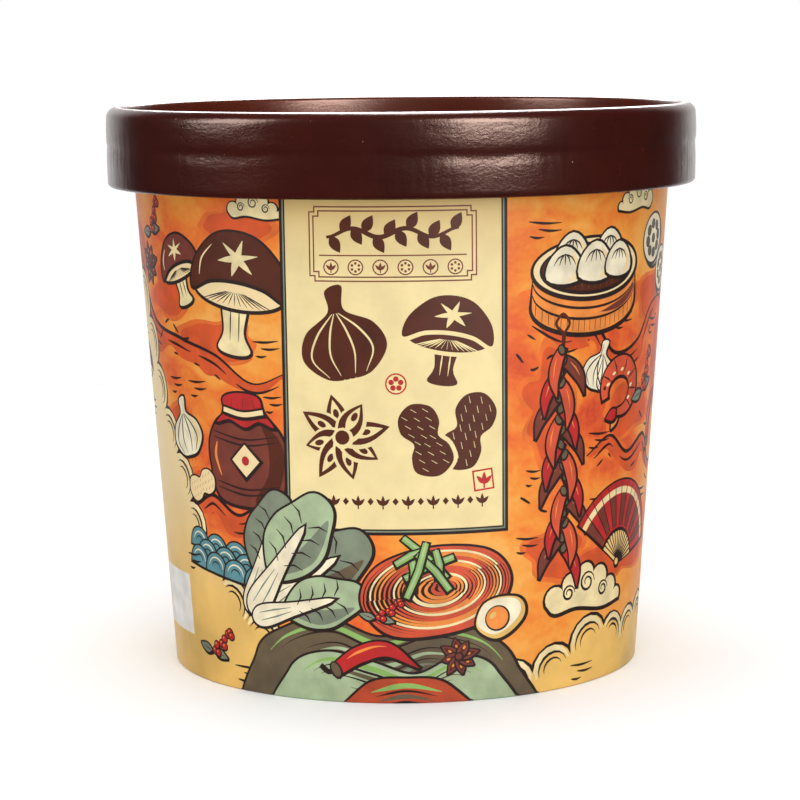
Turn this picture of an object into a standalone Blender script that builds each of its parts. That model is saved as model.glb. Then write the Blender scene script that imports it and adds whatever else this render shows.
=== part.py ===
"""Instant noodle cup, shut with its lid.

A tapered paper cup stands on a folded foot ring, with its base disc set up inside the ring.
A stiff paper lid is pushed down over the cup's rolled rim. Its band overhangs the wall, and its
top disc is sunk below the band's thick rounded rim. The cup is shut, so it is solid inside.

Metres, +Z up, with the origin on the axis at the plane the foot stands on.
"""

import math

import bmesh
import bpy

MM = 0.001
SEGMENTS = 96
PAPER_GAP = 0.3 * MM
SHARP_EDGE = math.radians(40)

# Overall sizes
HEIGHT = 138.0 * MM
LID_RADIUS = 73.0 * MM
LID_HEIGHT = 19.5 * MM
FOOT_RADIUS = 58.1 * MM
WALL_RADIUS_AT_LID = 66.1 * MM

# The band round the lid: a thick folded rim above, a skirt with a rolled hem below
CREST_RADIUS = 70.1 * MM
SHOULDER_DROP = 2.6 * MM
RIM_INNER_RADIUS = 69.0 * MM
RIM_INNER_DROP = 1.1 * MM
RECESS_DEPTH = 8.0 * MM
SKIRT_FOOT_RADIUS = 72.7 * MM
SKIRT_THICKNESS = 0.75 * MM
HEM_RADIUS = 1.1 * MM
HEM_END_ANGLE = -200

# The shallow crease that runs round the band
CREASE_DROP = 9.4 * MM
CREASE_HALF_WIDTH = 1.0 * MM
CREASE_DEPTH = 0.15 * MM

# The flat disc that closes the lid
DISC_RADIUS = 71.6 * MM
DISC_THICKNESS = 0.8 * MM

# The cup's rolled rim under the disc, round its flat top
ROLL_RADIUS = 1.75 * MM
ROLL_OUTER_RADIUS = 71.5 * MM
TOP_DROP = 0.3 * MM
NECK_ANGLE = -115

# The foot ring and the base disc inside it
FOOT_RING_THICKNESS = 2.2 * MM
FOOT_FOLD = 0.35 * MM
BASE_HEIGHT = 7.0 * MM
BASE_THICKNESS = 0.6 * MM

# Colours, linear
BROWN = (0.050, 0.013, 0.009, 1.0)
ORANGE = (0.76, 0.24, 0.045, 1.0)
UNPRINTED = (0.74, 0.68, 0.58, 1.0)


def clear_scene():
    """Remove whatever the scene starts with."""
    for old in list(bpy.data.objects):
        bpy.data.objects.remove(old, do_unlink=True)


def paper(name, colour, roughness):
    """A coated paper: plain, not metallic."""
    material = bpy.data.materials.new(name)
    material.use_nodes = True
    shader = material.node_tree.nodes["Principled BSDF"]
    shader.inputs["Base Color"].default_value = colour
    shader.inputs["Roughness"].default_value = roughness
    shader.inputs["Metallic"].default_value = 0.0
    material.diffuse_color = colour
    return material


def arc(centre, radii, start, end, steps):
    """Points on an elliptical arc in the (radius, height) plane, angles in degrees from +radius."""
    points = []
    for step in range(steps + 1):
        angle = math.radians(start + (end - start) * step / steps)
        points.append((
            centre[0] + radii[0] * math.cos(angle),
            centre[1] + radii[1] * math.sin(angle),
        ))
    return points


def turned(name, outline, closed, material, height=0.0):
    """A piece turned about Z from its outline, which runs down the outer side, top to bottom.

    A closed outline makes a ring, and an open one starts and ends on the axis. The outline's
    heights are measured from the given height.
    """
    shape = bmesh.new()
    points = [shape.verts.new((radius, 0.0, z)) for radius, z in outline]
    edges = [shape.edges.new(pair) for pair in zip(points, points[1:])]
    if closed:
        edges.append(shape.edges.new((points[-1], points[0])))
    bmesh.ops.spin(
        shape, geom=points + edges, cent=(0, 0, 0), axis=(0, 0, 1),
        angle=math.tau, steps=SEGMENTS, use_merge=True,
    )
    bmesh.ops.remove_doubles(shape, verts=shape.verts, dist=0.001 * MM)
    bmesh.ops.recalc_face_normals(shape, faces=shape.faces)
    mesh = bpy.data.meshes.new(name)
    shape.to_mesh(mesh)
    shape.free()
    mesh.shade_smooth()
    mesh.set_sharp_from_angle(angle=SHARP_EDGE)
    mesh.materials.append(material)
    piece = bpy.data.objects.new(name, mesh)
    piece.location = (0.0, 0.0, height)
    bpy.context.scene.collection.objects.link(piece)
    return piece


def wall_radius(height):
    """Radius of the cup's straight tapered wall at a height above the foot."""
    lid_foot = HEIGHT - LID_HEIGHT
    return FOOT_RADIUS + (WALL_RADIUS_AT_LID - FOOT_RADIUS) * height / lid_foot


def lid_band(material):
    """The band of the lid, with heights measured down from the crest of its rim."""
    shoulder = arc(
        (CREST_RADIUS, -SHOULDER_DROP), (LID_RADIUS - CREST_RADIUS, SHOULDER_DROP), 90, 0, 4,
    )
    crease = [
        (LID_RADIUS, -CREASE_DROP + CREASE_HALF_WIDTH),
        (LID_RADIUS - CREASE_DEPTH, -CREASE_DROP),
        (LID_RADIUS - CREASE_DEPTH / 2, -CREASE_DROP - CREASE_HALF_WIDTH),
    ]
    hem_centre = (SKIRT_FOOT_RADIUS - HEM_RADIUS, -LID_HEIGHT + HEM_RADIUS)
    hem = arc(hem_centre, (HEM_RADIUS, HEM_RADIUS), 0, HEM_END_ANGLE, 6)
    skirt_inner = LID_RADIUS - SKIRT_THICKNESS
    rim_foot = -RECESS_DEPTH + PAPER_GAP
    inside = [
        (skirt_inner - PAPER_GAP, hem_centre[1] + HEM_RADIUS),
        (skirt_inner, rim_foot),
        (RIM_INNER_RADIUS, rim_foot),
    ]
    inner_shoulder = arc(
        (CREST_RADIUS, -RIM_INNER_DROP), (CREST_RADIUS - RIM_INNER_RADIUS, RIM_INNER_DROP),
        180, 90, 3,
    )
    outline = shoulder + crease + hem + inside + inner_shoulder[:-1]
    return turned("lid_band", outline, True, material, HEIGHT)


def lid_disc(material):
    """The flat disc, held between the folded rim above it and the cup's rolled rim below."""
    outline = [
        (0.0, 0.0),
        (DISC_RADIUS, 0.0),
        (DISC_RADIUS, -DISC_THICKNESS),
        (0.0, -DISC_THICKNESS),
    ]
    return turned("lid_disc", outline, False, material, HEIGHT - RECESS_DEPTH)


def cup(material):
    """The shut cup: rolled rim, straight tapered wall and foot ring round a raised underside."""
    rim_top = HEIGHT - RECESS_DEPTH - DISC_THICKNESS - PAPER_GAP
    flat_top = rim_top - TOP_DROP
    roll_centre = (ROLL_OUTER_RADIUS - ROLL_RADIUS, rim_top - ROLL_RADIUS)
    flat_top_angle = math.degrees(math.asin(1.0 - TOP_DROP / ROLL_RADIUS))
    roll = arc(roll_centre, (ROLL_RADIUS, ROLL_RADIUS), 180 - flat_top_angle, NECK_ANGLE, 9)
    neck_height = roll_centre[1] - ROLL_RADIUS
    ring_inner = FOOT_RADIUS - FOOT_RING_THICKNESS
    underside = BASE_HEIGHT + BASE_THICKNESS + PAPER_GAP
    outline = [
        (0.0, flat_top),
        *roll,
        (wall_radius(neck_height), neck_height),
        (wall_radius(FOOT_FOLD), FOOT_FOLD),
        (FOOT_RADIUS - FOOT_FOLD, 0.0),
        (ring_inner + FOOT_FOLD, 0.0),
        (ring_inner, FOOT_FOLD),
        (ring_inner, underside),
        (0.0, underside),
    ]
    return turned("cup", outline, False, material)


def cup_base(material):
    """The paper disc set up inside the foot ring."""
    radius = FOOT_RADIUS - FOOT_RING_THICKNESS - PAPER_GAP
    outline = [
        (0.0, BASE_THICKNESS),
        (radius, BASE_THICKNESS),
        (radius, 0.0),
        (0.0, 0.0),
    ]
    return turned("cup_base", outline, False, material, BASE_HEIGHT)


def main():
    """Build the pieces from the top down."""
    clear_scene()
    lid_paper = paper("Lid paper", BROWN, 0.35)
    printed_paper = paper("Printed paper", ORANGE, 0.42)
    plain_paper = paper("Plain paper", UNPRINTED, 0.75)
    lid_band(lid_paper)
    lid_disc(lid_paper)
    cup(printed_paper)
    cup_base(plain_paper)


main()
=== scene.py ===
"""The looks of a shut instant noodle cup: printed paper wall, dark glossy paper lid, plain studio.

Lengths in the classes are millimetres and are turned into metres where a mesh is made. Round the
cup, an angle of 0 faces the front (-Y) and grows towards +X. The print is drawn flat, as arc
length along and height up, and is then wrapped round the tapered wall.
"""

import logging
import math
from dataclasses import dataclass, field
from enum import Enum
from typing import Sequence

import bpy
import numpy as np
from mathutils import Matrix, Vector, geometry, noise

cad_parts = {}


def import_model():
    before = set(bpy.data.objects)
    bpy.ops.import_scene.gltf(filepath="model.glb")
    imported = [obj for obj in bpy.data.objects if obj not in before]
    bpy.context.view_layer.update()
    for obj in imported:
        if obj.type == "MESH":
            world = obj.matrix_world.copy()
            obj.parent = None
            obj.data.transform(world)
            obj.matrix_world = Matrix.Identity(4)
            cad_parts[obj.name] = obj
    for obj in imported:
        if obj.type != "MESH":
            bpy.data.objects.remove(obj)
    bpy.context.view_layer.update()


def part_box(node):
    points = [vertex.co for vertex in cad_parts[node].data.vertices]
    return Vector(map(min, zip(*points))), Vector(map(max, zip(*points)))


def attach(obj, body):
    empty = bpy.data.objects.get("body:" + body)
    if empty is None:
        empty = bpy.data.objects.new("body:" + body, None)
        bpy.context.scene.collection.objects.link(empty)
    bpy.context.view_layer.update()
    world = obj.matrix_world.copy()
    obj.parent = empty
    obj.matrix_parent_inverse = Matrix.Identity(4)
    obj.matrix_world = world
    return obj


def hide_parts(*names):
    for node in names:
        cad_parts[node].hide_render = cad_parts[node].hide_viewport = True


MM = 0.001
CLOSE = 1e-4
FULL_TURN = 360.0
ROOT = "root"
LOG = logging.getLogger("noodle_cup")

Points = np.ndarray
Size = float | tuple[float, float]
Socket = bpy.types.NodeSocket


class Ink(Enum):
    """The inks of the print, as display colours of 0 to 255."""

    GROUND = (240, 132, 36)
    RUST = (188, 72, 36)
    GOLD = (240, 194, 104)
    CREAM = (243, 223, 168)
    PALE = (246, 232, 200)
    BROWN = (92, 38, 16)
    WOOD = (128, 58, 44)
    LINE = (48, 30, 26)
    CELADON = (172, 190, 150)
    SAGE = (128, 138, 116)
    OLIVE = (108, 92, 68)
    ORANGE = (240, 142, 60)
    BROTH = (214, 82, 48)
    RED = (196, 34, 34)
    LEAF = (142, 186, 96)
    STEEL = (92, 150, 158)
    EMBER = (222, 86, 30)
    FLAME = (236, 112, 36)
    PAPER = (240, 219, 160)
    BOARD = (226, 214, 190)
    WHITE = (240, 238, 232)


def linear(colour: Sequence[float]) -> tuple[float, float, float, float]:
    """Turn a display colour into a linear colour.

    Args:
        colour: Its three parts, 0 to 255.

    Returns:
        Its linear parts, with alpha 1.
    """
    parts = [c / 255 for c in colour]
    made = [p / 12.92 if p <= 0.04045 else ((p + 0.055) / 1.055) ** 2.4 for p in parts]
    return (made[0], made[1], made[2], 1.0)


def deselect() -> None:
    """Leave edit mode and select nothing, because operators act on all that is selected."""
    if bpy.context.object is not None and bpy.context.object.mode != "OBJECT":
        bpy.ops.object.mode_set(mode="OBJECT")
    bpy.ops.object.select_all(action="DESELECT")


def arc(centre: Sequence[float], radii: Sequence[float], start: float, end: float,
        steps: int) -> list[tuple[float, float]]:
    """Points on an elliptical arc between two angles in degrees, in so many stretches."""
    angles = [math.radians(start + (end - start) * i / steps) for i in range(steps + 1)]
    return [(centre[0] + radii[0] * math.cos(a), centre[1] + radii[1] * math.sin(a)) for a in angles]


def turned(name: str, outline: Sequence[tuple[float, float]], steps: int) -> bpy.types.Object:
    """Trace an outline by extruding one point along it, and turn it round the axis.

    Args:
        name: The piece's name.
        outline: Radius and height of each point; a closed outline repeats its first point.
        steps: How many facets go round the axis.

    Returns:
        The piece, with its doubles merged and its faces pointing out.
    """
    deselect()
    first = outline[0]
    bpy.ops.mesh.primitive_plane_add(size=MM, location=(first[0] * MM, 0, first[1] * MM))
    piece = bpy.context.object
    bpy.ops.object.mode_set(mode="EDIT")
    bpy.ops.mesh.merge(type="CENTER")
    for here, there in zip(outline, outline[1:]):
        step = ((there[0] - here[0]) * MM, 0, (there[1] - here[1]) * MM)
        bpy.ops.mesh.extrude_region_move(TRANSFORM_OT_translate={"value": step})
    bpy.ops.object.mode_set(mode="OBJECT")
    bpy.ops.object.transform_apply(location=True, rotation=True, scale=True)
    bpy.ops.object.modifier_add(type="SCREW")
    screw = piece.modifiers["Screw"]
    screw.steps = screw.render_steps = steps
    bpy.ops.object.modifier_apply(modifier="Screw")
    bpy.ops.object.mode_set(mode="EDIT")
    bpy.ops.mesh.select_all(action="SELECT")
    bpy.ops.mesh.remove_doubles(threshold=1e-6)
    bpy.ops.mesh.normals_make_consistent(inside=False)
    bpy.ops.object.mode_set(mode="OBJECT")
    bpy.ops.object.shade_smooth_by_angle(angle=math.radians(50))
    piece.name = name
    piece.data.name = name
    return piece


def pressed(level: float, middle: float, width: float, rise: float) -> list[tuple[float, float]]:
    """Outline of a shallow ring pressed into a disc; a rise below zero goes down."""
    radii = np.arange(middle - 4, middle + 4.5, 0.5).tolist()
    return [(radius, level + rise * math.exp(-(((radius - middle) / width) ** 2))) for radius in radii]


def lit(name: str, radiance: float, width: float, height: float) -> bpy.types.Object:
    """Make a soft light and set its power from how bright its face is.

    Args:
        name: The light's name.
        radiance: How bright its face is, where 1 shows as white.
        width: Its width.
        height: Its height.

    Returns:
        The light, at the origin.
    """
    data = bpy.data.lights.new(name, "AREA")
    data.size = width
    data.energy = radiance * math.pi * width * height
    lamp = bpy.data.objects.new(name, data)
    bpy.context.scene.collection.objects.link(lamp)
    return lamp


def dress(piece: bpy.types.Object, replaced: str = "") -> None:
    """Make a piece ride on the cup and log it.

    Args:
        piece: The finished piece.
        replaced: The solid that it stands for, if any.
    """
    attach(piece, ROOT)
    if replaced:
        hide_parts(replaced)
    LOG.info("%s: %d faces", piece.name, len(piece.data.polygons))


class Shader:
    """A material's node tree, with short calls for the nodes that the finishes share."""

    def __init__(self, name: str, roughness: float) -> None:
        """Start a material that isn't metallic.

        Args:
            name: The material's name.
            roughness: The roughness of its surface.
        """
        self.material = bpy.data.materials.new(name)
        self.material.use_nodes = True
        self.tree = self.material.node_tree
        self.surface = self.tree.nodes["Principled BSDF"]
        self.surface.inputs["Roughness"].default_value = roughness
        self.place = self.tree.nodes.new("ShaderNodeTexCoord").outputs["Object"]

    def link(self, start: Socket, end: Socket) -> None:
        """Join an output to an input."""
        self.tree.links.new(start, end)

    def noise(self, scale: float, detail: float = 3.0, stretch: Sequence[float] = (1, 1, 1),
              distortion: float = 0.0) -> Socket:
        """Noise on object coordinates.

        Args:
            scale: How many cells there are to a metre.
            detail: How many octaves are added.
            stretch: The scale along each axis, over and above the first.
            distortion: How far the pattern is warped.

        Returns:
            The noise value, from 0 to 1.
        """
        mapping = self.tree.nodes.new("ShaderNodeMapping")
        mapping.inputs["Scale"].default_value = stretch
        self.link(self.place, mapping.inputs["Vector"])
        made = self.tree.nodes.new("ShaderNodeTexNoise")
        made.inputs["Scale"].default_value = scale
        made.inputs["Detail"].default_value = detail
        made.inputs["Distortion"].default_value = distortion
        self.link(mapping.outputs["Vector"], made.inputs["Vector"])
        return made.outputs["Fac"]

    def weighed(self, *parts: tuple[Socket, float]) -> Socket:
        """Add up several values.

        Args:
            *parts: Each value with its weight.

        Returns:
            The sum.
        """
        total = None
        for value, weight in parts:
            made = self.tree.nodes.new("ShaderNodeMath")
            made.operation = "MULTIPLY_ADD"
            made.inputs[1].default_value = weight
            made.inputs[2].default_value = 0.0
            self.link(value, made.inputs[0])
            if total is not None:
                self.link(total, made.inputs[2])
            total = made.outputs[0]
        return total

    def height(self) -> Socket:
        """Read the height above the foot.

        Returns:
            The height in metres.
        """
        split = self.tree.nodes.new("ShaderNodeSeparateXYZ")
        self.link(self.place, split.inputs[0])
        return split.outputs["Z"]

    def rise(self, value: Socket, start: float, end: float, eased: bool = True) -> Socket:
        """Turn a value into a share that goes from 0 to 1.

        Args:
            value: The value.
            start: Where the share is 0.
            end: Where it is 1.
            eased: Whether it starts and ends gently.

        Returns:
            The share.
        """
        made = self.tree.nodes.new("ShaderNodeMapRange")
        made.interpolation_type = "SMOOTHSTEP" if eased else "LINEAR"
        made.inputs["From Min"].default_value = start
        made.inputs["From Max"].default_value = end
        self.link(value, made.inputs["Value"])
        return made.outputs["Result"]

    def ramp(self, value: Socket, stops: Sequence[tuple[float, Sequence[float]]]) -> Socket:
        """A colour ramp.

        Args:
            value: The value that runs along the ramp.
            stops: Each stop's place, from 0 to 1, and its linear colour.

        Returns:
            The colour.
        """
        made = self.tree.nodes.new("ShaderNodeValToRGB")
        elements = made.color_ramp.elements
        while len(elements) < len(stops):
            elements.new(0.5)
        for element, (place, colour) in zip(elements, stops):
            element.position = place
            element.color = colour
        self.link(value, made.inputs["Fac"])
        return made.outputs["Color"]

    def mix(self, amount: Socket, first: Socket, second: Sequence[float]) -> Socket:
        """Mix a colour with a fixed one.

        Args:
            amount: How much of the fixed colour shows.
            first: The colour.
            second: The fixed colour.

        Returns:
            The mixed colour.
        """
        made = self.tree.nodes.new("ShaderNodeMix")
        made.data_type = "RGBA"
        self.link(amount, made.inputs["Factor"])
        self.link(first, made.inputs[6])
        made.inputs[7].default_value = second
        return made.outputs[2]

    def bump(self, heights: Sequence[tuple[Socket, float]]) -> None:
        """Chain bump nodes into the surface's normal.

        Args:
            heights: Each height value, and how many metres high it stands.
        """
        normal = None
        for value, height in heights:
            made = self.tree.nodes.new("ShaderNodeBump")
            made.inputs["Strength"].default_value = 1.0
            made.inputs["Distance"].default_value = height
            self.link(value, made.inputs["Height"])
            if normal is not None:
                self.link(normal, made.inputs["Normal"])
            normal = made.outputs["Normal"]
        self.link(normal, self.surface.inputs["Normal"])

    def colour(self, value: Socket) -> None:
        """Use a colour as the surface's base colour."""
        self.link(value, self.surface.inputs["Base Color"])

    def set(self, socket: str, value: float | Sequence[float]) -> None:
        """Set one of the surface's own sockets."""
        self.surface.inputs[socket].default_value = value


@dataclass(frozen=True)
class GlossyPaper:
    """The lid's dark paper with a glossy coating: fine fibre, soft creases, specks of dust."""

    name: str = "Lid paper"
    base: tuple[float, float, float] = (62, 17, 11)
    deep: tuple[float, float, float] = (52, 13, 9)
    dust: tuple[float, float, float] = (190, 160, 140)
    gloss_tint: tuple[float, float, float, float] = (1.0, 0.74, 0.62, 1.0)
    roughness: float = 0.23
    crease_height: float = 0.00005
    fibre_height: float = 0.00003

    def material(self) -> bpy.types.Material:
        """Build the paper's material."""
        shader = Shader(self.name, self.roughness)
        clouds, grains = shader.noise(scale=60, detail=4), shader.noise(scale=900, detail=1)
        tone = shader.ramp(clouds, [(0.3, linear(self.deep)), (0.7, linear(self.base))])
        speck = shader.ramp(grains, [(0.80, (0, 0, 0, 1)), (0.84, (1, 1, 1, 1))])
        shader.colour(shader.mix(speck, tone, linear(self.dust)))
        creases = shader.noise(scale=620, detail=4, stretch=(0.6, 0.6, 1.5), distortion=0.4)
        shader.bump([(creases, self.crease_height), (shader.noise(scale=1700, detail=2), self.fibre_height)])
        shader.set("Specular Tint", self.gloss_tint)
        return shader.material


@dataclass(frozen=True)
class PlainBoard:
    """Bare paper board: pale, matte and fibrous."""

    name: str = "Plain board"
    tint: Ink = Ink.BOARD
    roughness: float = 0.72
    fibre_height: float = 0.00003

    def material(self) -> bpy.types.Material:
        """Build the board's material."""
        shader = Shader(self.name, self.roughness)
        tone = [c * 0.93 for c in self.tint.value]
        fibres = shader.noise(scale=700, detail=5)
        shader.colour(shader.ramp(fibres, [(0.3, linear(tone)), (0.7, linear(self.tint.value))]))
        shader.bump([(shader.noise(scale=2500, detail=3), self.fibre_height)])
        return shader.material


@dataclass(frozen=True)
class PrintedPaper:
    """Satin-coated paper under one ink of the print, mottled as by a wash of colour."""

    ink: Ink
    mottle: float = 0.10
    scale: float = 180
    roughness: float = 0.42
    grain_height: float = 0.000015

    def material(self) -> bpy.types.Material:
        """Build the inked paper's material."""
        shader = Shader("Ink " + self.ink.name.lower(), self.roughness)
        shader.set("Specular IOR Level", 0.3)
        shader.colour(self.tone(shader))
        shader.bump([(shader.noise(scale=1600, detail=3), self.grain_height)])
        return shader.material

    def tone(self, shader: Shader) -> Socket:
        """Mottle the ink.

        Args:
            shader: The material that is being built.

        Returns:
            The ink's colour.
        """
        dark = [c * (1 - self.mottle) for c in self.ink.value]
        light = [min(255, c * (1 + self.mottle / 2)) for c in self.ink.value]
        return shader.ramp(shader.noise(self.scale, detail=5), [(0.3, linear(dark)), (0.7, linear(light))])


@dataclass(frozen=True)
class FadedPaper(PrintedPaper):
    """Printed paper whose ink turns into a second colour between two heights."""

    other: tuple[float, float, float] = (0, 0, 0)
    start: float = 0.0
    end: float = 0.1

    def tone(self, shader: Shader) -> Socket:
        """Fade the mottled ink into the second colour."""
        share = shader.rise(shader.height(), self.start, self.end)
        return shader.mix(share, super().tone(shader), linear(self.other))


@dataclass(frozen=True)
class WashedPaper(PrintedPaper):
    """The ground of the print: amber and vermilion washes that run into each other."""

    stops: tuple[tuple[float, tuple[float, float, float]], ...] = (
        (0.30, (206, 66, 30)), (0.42, (232, 98, 34)), (0.53, (240, 126, 38)), (0.66, (243, 152, 52)),
        (0.82, (246, 172, 78)))

    def tone(self, shader: Shader) -> Socket:
        """Run the washes together.

        Args:
            shader: The material that is being built.

        Returns:
            The ground's colour.
        """
        broad = shader.noise(scale=17, detail=2, stretch=(1, 1, 1.3), distortion=0.5)
        patches = shader.noise(scale=75, detail=6, stretch=(1, 1, 1.6), distortion=0.8)
        grain = shader.noise(scale=700, detail=3)
        run = shader.weighed((broad, 0.85), (patches, 0.42), (grain, 0.10))
        share = shader.rise(run, start=0.33, end=0.97, eased=False)
        return shader.ramp(share, [(place, linear(colour)) for place, colour in self.stops])


FINISHES = {
    Ink.GROUND: WashedPaper(Ink.GROUND),
    # The label's cream darkens to amber towards the top, under the lid: partly print, partly painted shade of
    # the lid.
    Ink.PAPER: FadedPaper(Ink.PAPER, mottle=0.04, scale=120, other=(208, 168, 92), start=0.098, end=0.130),
    Ink.GOLD: FadedPaper(Ink.GOLD, mottle=0.10, scale=60, other=(244, 218, 164), start=0.016, end=0.056),
}


@dataclass(frozen=True)
class Cone:
    """The cup's straight tapered wall."""

    foot_radius: float
    slope: float
    top: float
    step: float = 3.0

    @property
    def reference(self) -> float:
        """The radius that arc lengths on the flat sheet are measured at."""
        return self.foot_radius + self.slope * self.top / 2

    def radius(self, height: Points) -> Points:
        """The wall's radius at a height."""
        return self.foot_radius + self.slope * height


@dataclass(frozen=True)
class Place:
    """Where a motif goes on the sheet, and how it is turned and sized there."""

    cone: Cone
    angle: float
    height: float
    turn: float = 0.0
    size: float = 1.0
    flip: bool = False

    def __call__(self, points: Points) -> Points:
        """Put a motif's own points, in mm about its middle, on the flat sheet.

        Args:
            points: Rows of across and up.

        Returns:
            Rows of arc length at the reference radius, and height.
        """
        made = np.array(points, float) * self.size
        if self.flip:
            made = made[::-1] * (-1, 1)
        turn = math.radians(self.turn)
        across = made[:, 0] * math.cos(turn) - made[:, 1] * math.sin(turn)
        up = made[:, 0] * math.sin(turn) + made[:, 1] * math.cos(turn) + self.height
        angle = math.radians(self.angle) + across / self.cone.radius(up)
        return np.column_stack([angle * self.cone.reference, up])


def inside(points: Points, polygon: Points) -> np.ndarray:
    """Which points a closed polygon winds round.

    Args:
        points: Rows of two coordinates.
        polygon: The polygon's corners, which may cross themselves.

    Returns:
        True for each point that is inside.
    """
    low, high = polygon.min(0), polygon.max(0)
    near = np.flatnonzero(((points >= low) & (points <= high)).all(1))
    start, end = polygon, np.roll(polygon, -1, 0)
    across, up = points[near, 0][:, None], points[near, 1][:, None]
    left = (end[:, 0] - start[:, 0]) * (up - start[:, 1]) > (across - start[:, 0]) * (end[:, 1] - start[:, 1])
    rising = (start[:, 1] <= up) & (end[:, 1] > up) & left
    falling = (start[:, 1] > up) & (end[:, 1] <= up) & ~left
    found = np.zeros(len(points), bool)
    found[near] = rising.sum(1) != falling.sum(1)
    return found


@dataclass
class Sheet:
    """The flat printed sheet: shapes of ink, each laid over those before it."""

    cone: Cone
    bottom: float
    top: float
    margin: float = 0.25
    finest: float = 1e-3
    weld: float = 1e-5
    shapes: list[tuple[Ink, Points]] = field(default_factory=list)

    @property
    def half(self) -> float:
        """Half the sheet's length."""
        return math.pi * self.cone.reference

    def paint(self, ink: Ink, outline: Points) -> None:
        """Lay a shape on the sheet, cut off where the sheet's edges are.

        Args:
            ink: The shape's ink.
            outline: Its closed outline on the sheet.
        """
        limit = self.half - self.margin
        cut = np.column_stack([outline[:, 0].clip(-limit, limit), outline[:, 1].clip(self.bottom, self.top)])
        apart = np.abs(cut - np.roll(cut, 1, 0)).max(1) > self.finest
        if apart.sum() > 2:
            self.shapes.append((ink, cut[apart]))

    def partition(self) -> tuple[Points, np.ndarray, list[Ink]]:
        """Cut the sheet along every outline and along the facets of the wall.

        Returns:
            The corners on the sheet, the triangles, and each triangle's ink.
        """
        corners, edges = [], []
        half, low, high = self.half, self.bottom, self.top
        border = np.array([(-half, low), (half, low), (half, high), (-half, high)])
        for outline in [border] + [shape for _, shape in self.shapes]:
            count, first = len(outline), len(corners)
            corners.extend(Vector(p) for p in outline.tolist())
            edges.extend((first + i, first + (i + 1) % count) for i in range(count))
        facets = round(FULL_TURN / self.cone.step)
        for line in range(1, facets):
            along = half * (2 * line / facets - 1)
            edges.append((len(corners), len(corners) + 1))
            corners.extend((Vector((along, low)), Vector((along, high))))
        found = geometry.delaunay_2d_cdt(corners, edges, [], 0, self.weld, False)
        made = np.array([tuple(v) for v in found[0]])
        faces = np.array(found[2])
        middles = made[faces].mean(1)
        top_shape = np.full(len(faces), -1)
        for number, (_, shape) in enumerate(self.shapes):
            top_shape[inside(middles, shape)] = number
        inks = [Ink.GROUND if n < 0 else self.shapes[n][0] for n in top_shape]
        return made, faces, inks


def moved(points: Sequence, centre: Sequence[float] = (0, 0), turn: float = 0.0, size: float = 1.0) -> Points:
    """Turn a drawing about its middle, size it and shift it.

    Args:
        points: Rows of across and up.
        centre: Where its middle goes.
        turn: Degrees anticlockwise.
        size: Its new scale.

    Returns:
        The rows in their new place.
    """
    angle = math.radians(turn)
    spin = np.array([(math.cos(angle), math.sin(angle)), (-math.sin(angle), math.cos(angle))])
    return np.asarray(points, float) * size @ spin + centre


def smooth(points: Sequence, closed: bool = True, gap: float = 0.9, size: Size = 1.0) -> Points:
    """Draw a smooth curve through a few points.

    Args:
        points: Rows of across and up, as shares of the size.
        closed: Whether the curve comes back to its start.
        gap: About how far apart the curve's own points lie.
        size: The scale, or one for across and one for up.

    Returns:
        The curve's points.
    """
    given = np.asarray(points, float) * size
    if closed:
        around = np.vstack([given[-1], given, given[:2]])
    else:
        around = np.vstack([2 * given[0] - given[1], given, 2 * given[-1] - given[-2]])
    made = []
    for a, b, c, d in zip(around, around[1:], around[2:], around[3:]):
        steps = max(2, math.ceil(math.dist(b, c) / gap))
        t = np.arange(steps)[:, None] / steps
        bend = (2 * a - 5 * b + 4 * c - d) * t ** 2 + (3 * b - a - 3 * c + d) * t ** 3
        made.append(b + ((c - a) * t + bend) / 2)
    if not closed:
        made.append(given[-1:])
    return np.vstack(made)


def straight(points: Sequence, closed: bool = False, gap: float = 3.0, size: Size = 1.0) -> Points:
    """Draw straight stretches through a few points, cut short enough to follow the cone.

    Args:
        points: Rows of across and up, as shares of the size.
        closed: Whether the line comes back to its start.
        gap: The longest stretch.
        size: The scale, or one for across and one for up.

    Returns:
        The line's points.
    """
    given = list(np.asarray(points, float) * size)
    made = []
    for here, there in zip(given, given[1:] + given[:1] if closed else given[1:]):
        steps = max(1, math.ceil(math.dist(here, there) / gap))
        made.extend(here + (there - here) * i / steps for i in range(steps))
    if not closed:
        made.append(given[-1])
    return np.array(made)


def oval(width: float, height: float, centre: Sequence[float] = (0, 0), turn: float = 0.0) -> Points:
    """An ellipse of a whole width and height about a centre, turned anticlockwise."""
    steps = max(10, round((width + height) * 1.9))
    return moved(arc((0, 0), (width / 2, height / 2), 0, FULL_TURN, steps)[:-1], centre, turn)


def grown(outline: Points, distance: float, shade: float = 0.0) -> Points:
    """Move a closed outline outwards.

    Args:
        outline: The outline.
        distance: How far it moves, inwards if negative.
        shade: How much further its lower right side moves, as a share.

    Returns:
        The moved outline.
    """
    after = np.roll(outline, -1, 0)
    ahead = after - outline
    area = (outline[:, 0] * after[:, 1] - after[:, 0] * outline[:, 1]).sum()
    out = np.column_stack([ahead[:, 1], -ahead[:, 0]]) * math.copysign(1, area)
    out /= np.linalg.norm(out, axis=1)[:, None].clip(1e-9)
    corner = out + np.roll(out, 1, 0)
    corner /= (corner ** 2).sum(1)[:, None].clip(0.7) / 2
    weight = distance * (1 + shade * (corner @ (0.5, -0.8)).clip(-1, 1))
    return outline + corner * weight[:, None]


def beside(route: Points) -> Points:
    """The direction of unit length to the left of a route, at each of its points."""
    step = np.gradient(route, axis=0)
    return np.column_stack([-step[:, 1], step[:, 0]]) / np.linalg.norm(step, axis=1)[:, None].clip(1e-9)


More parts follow.
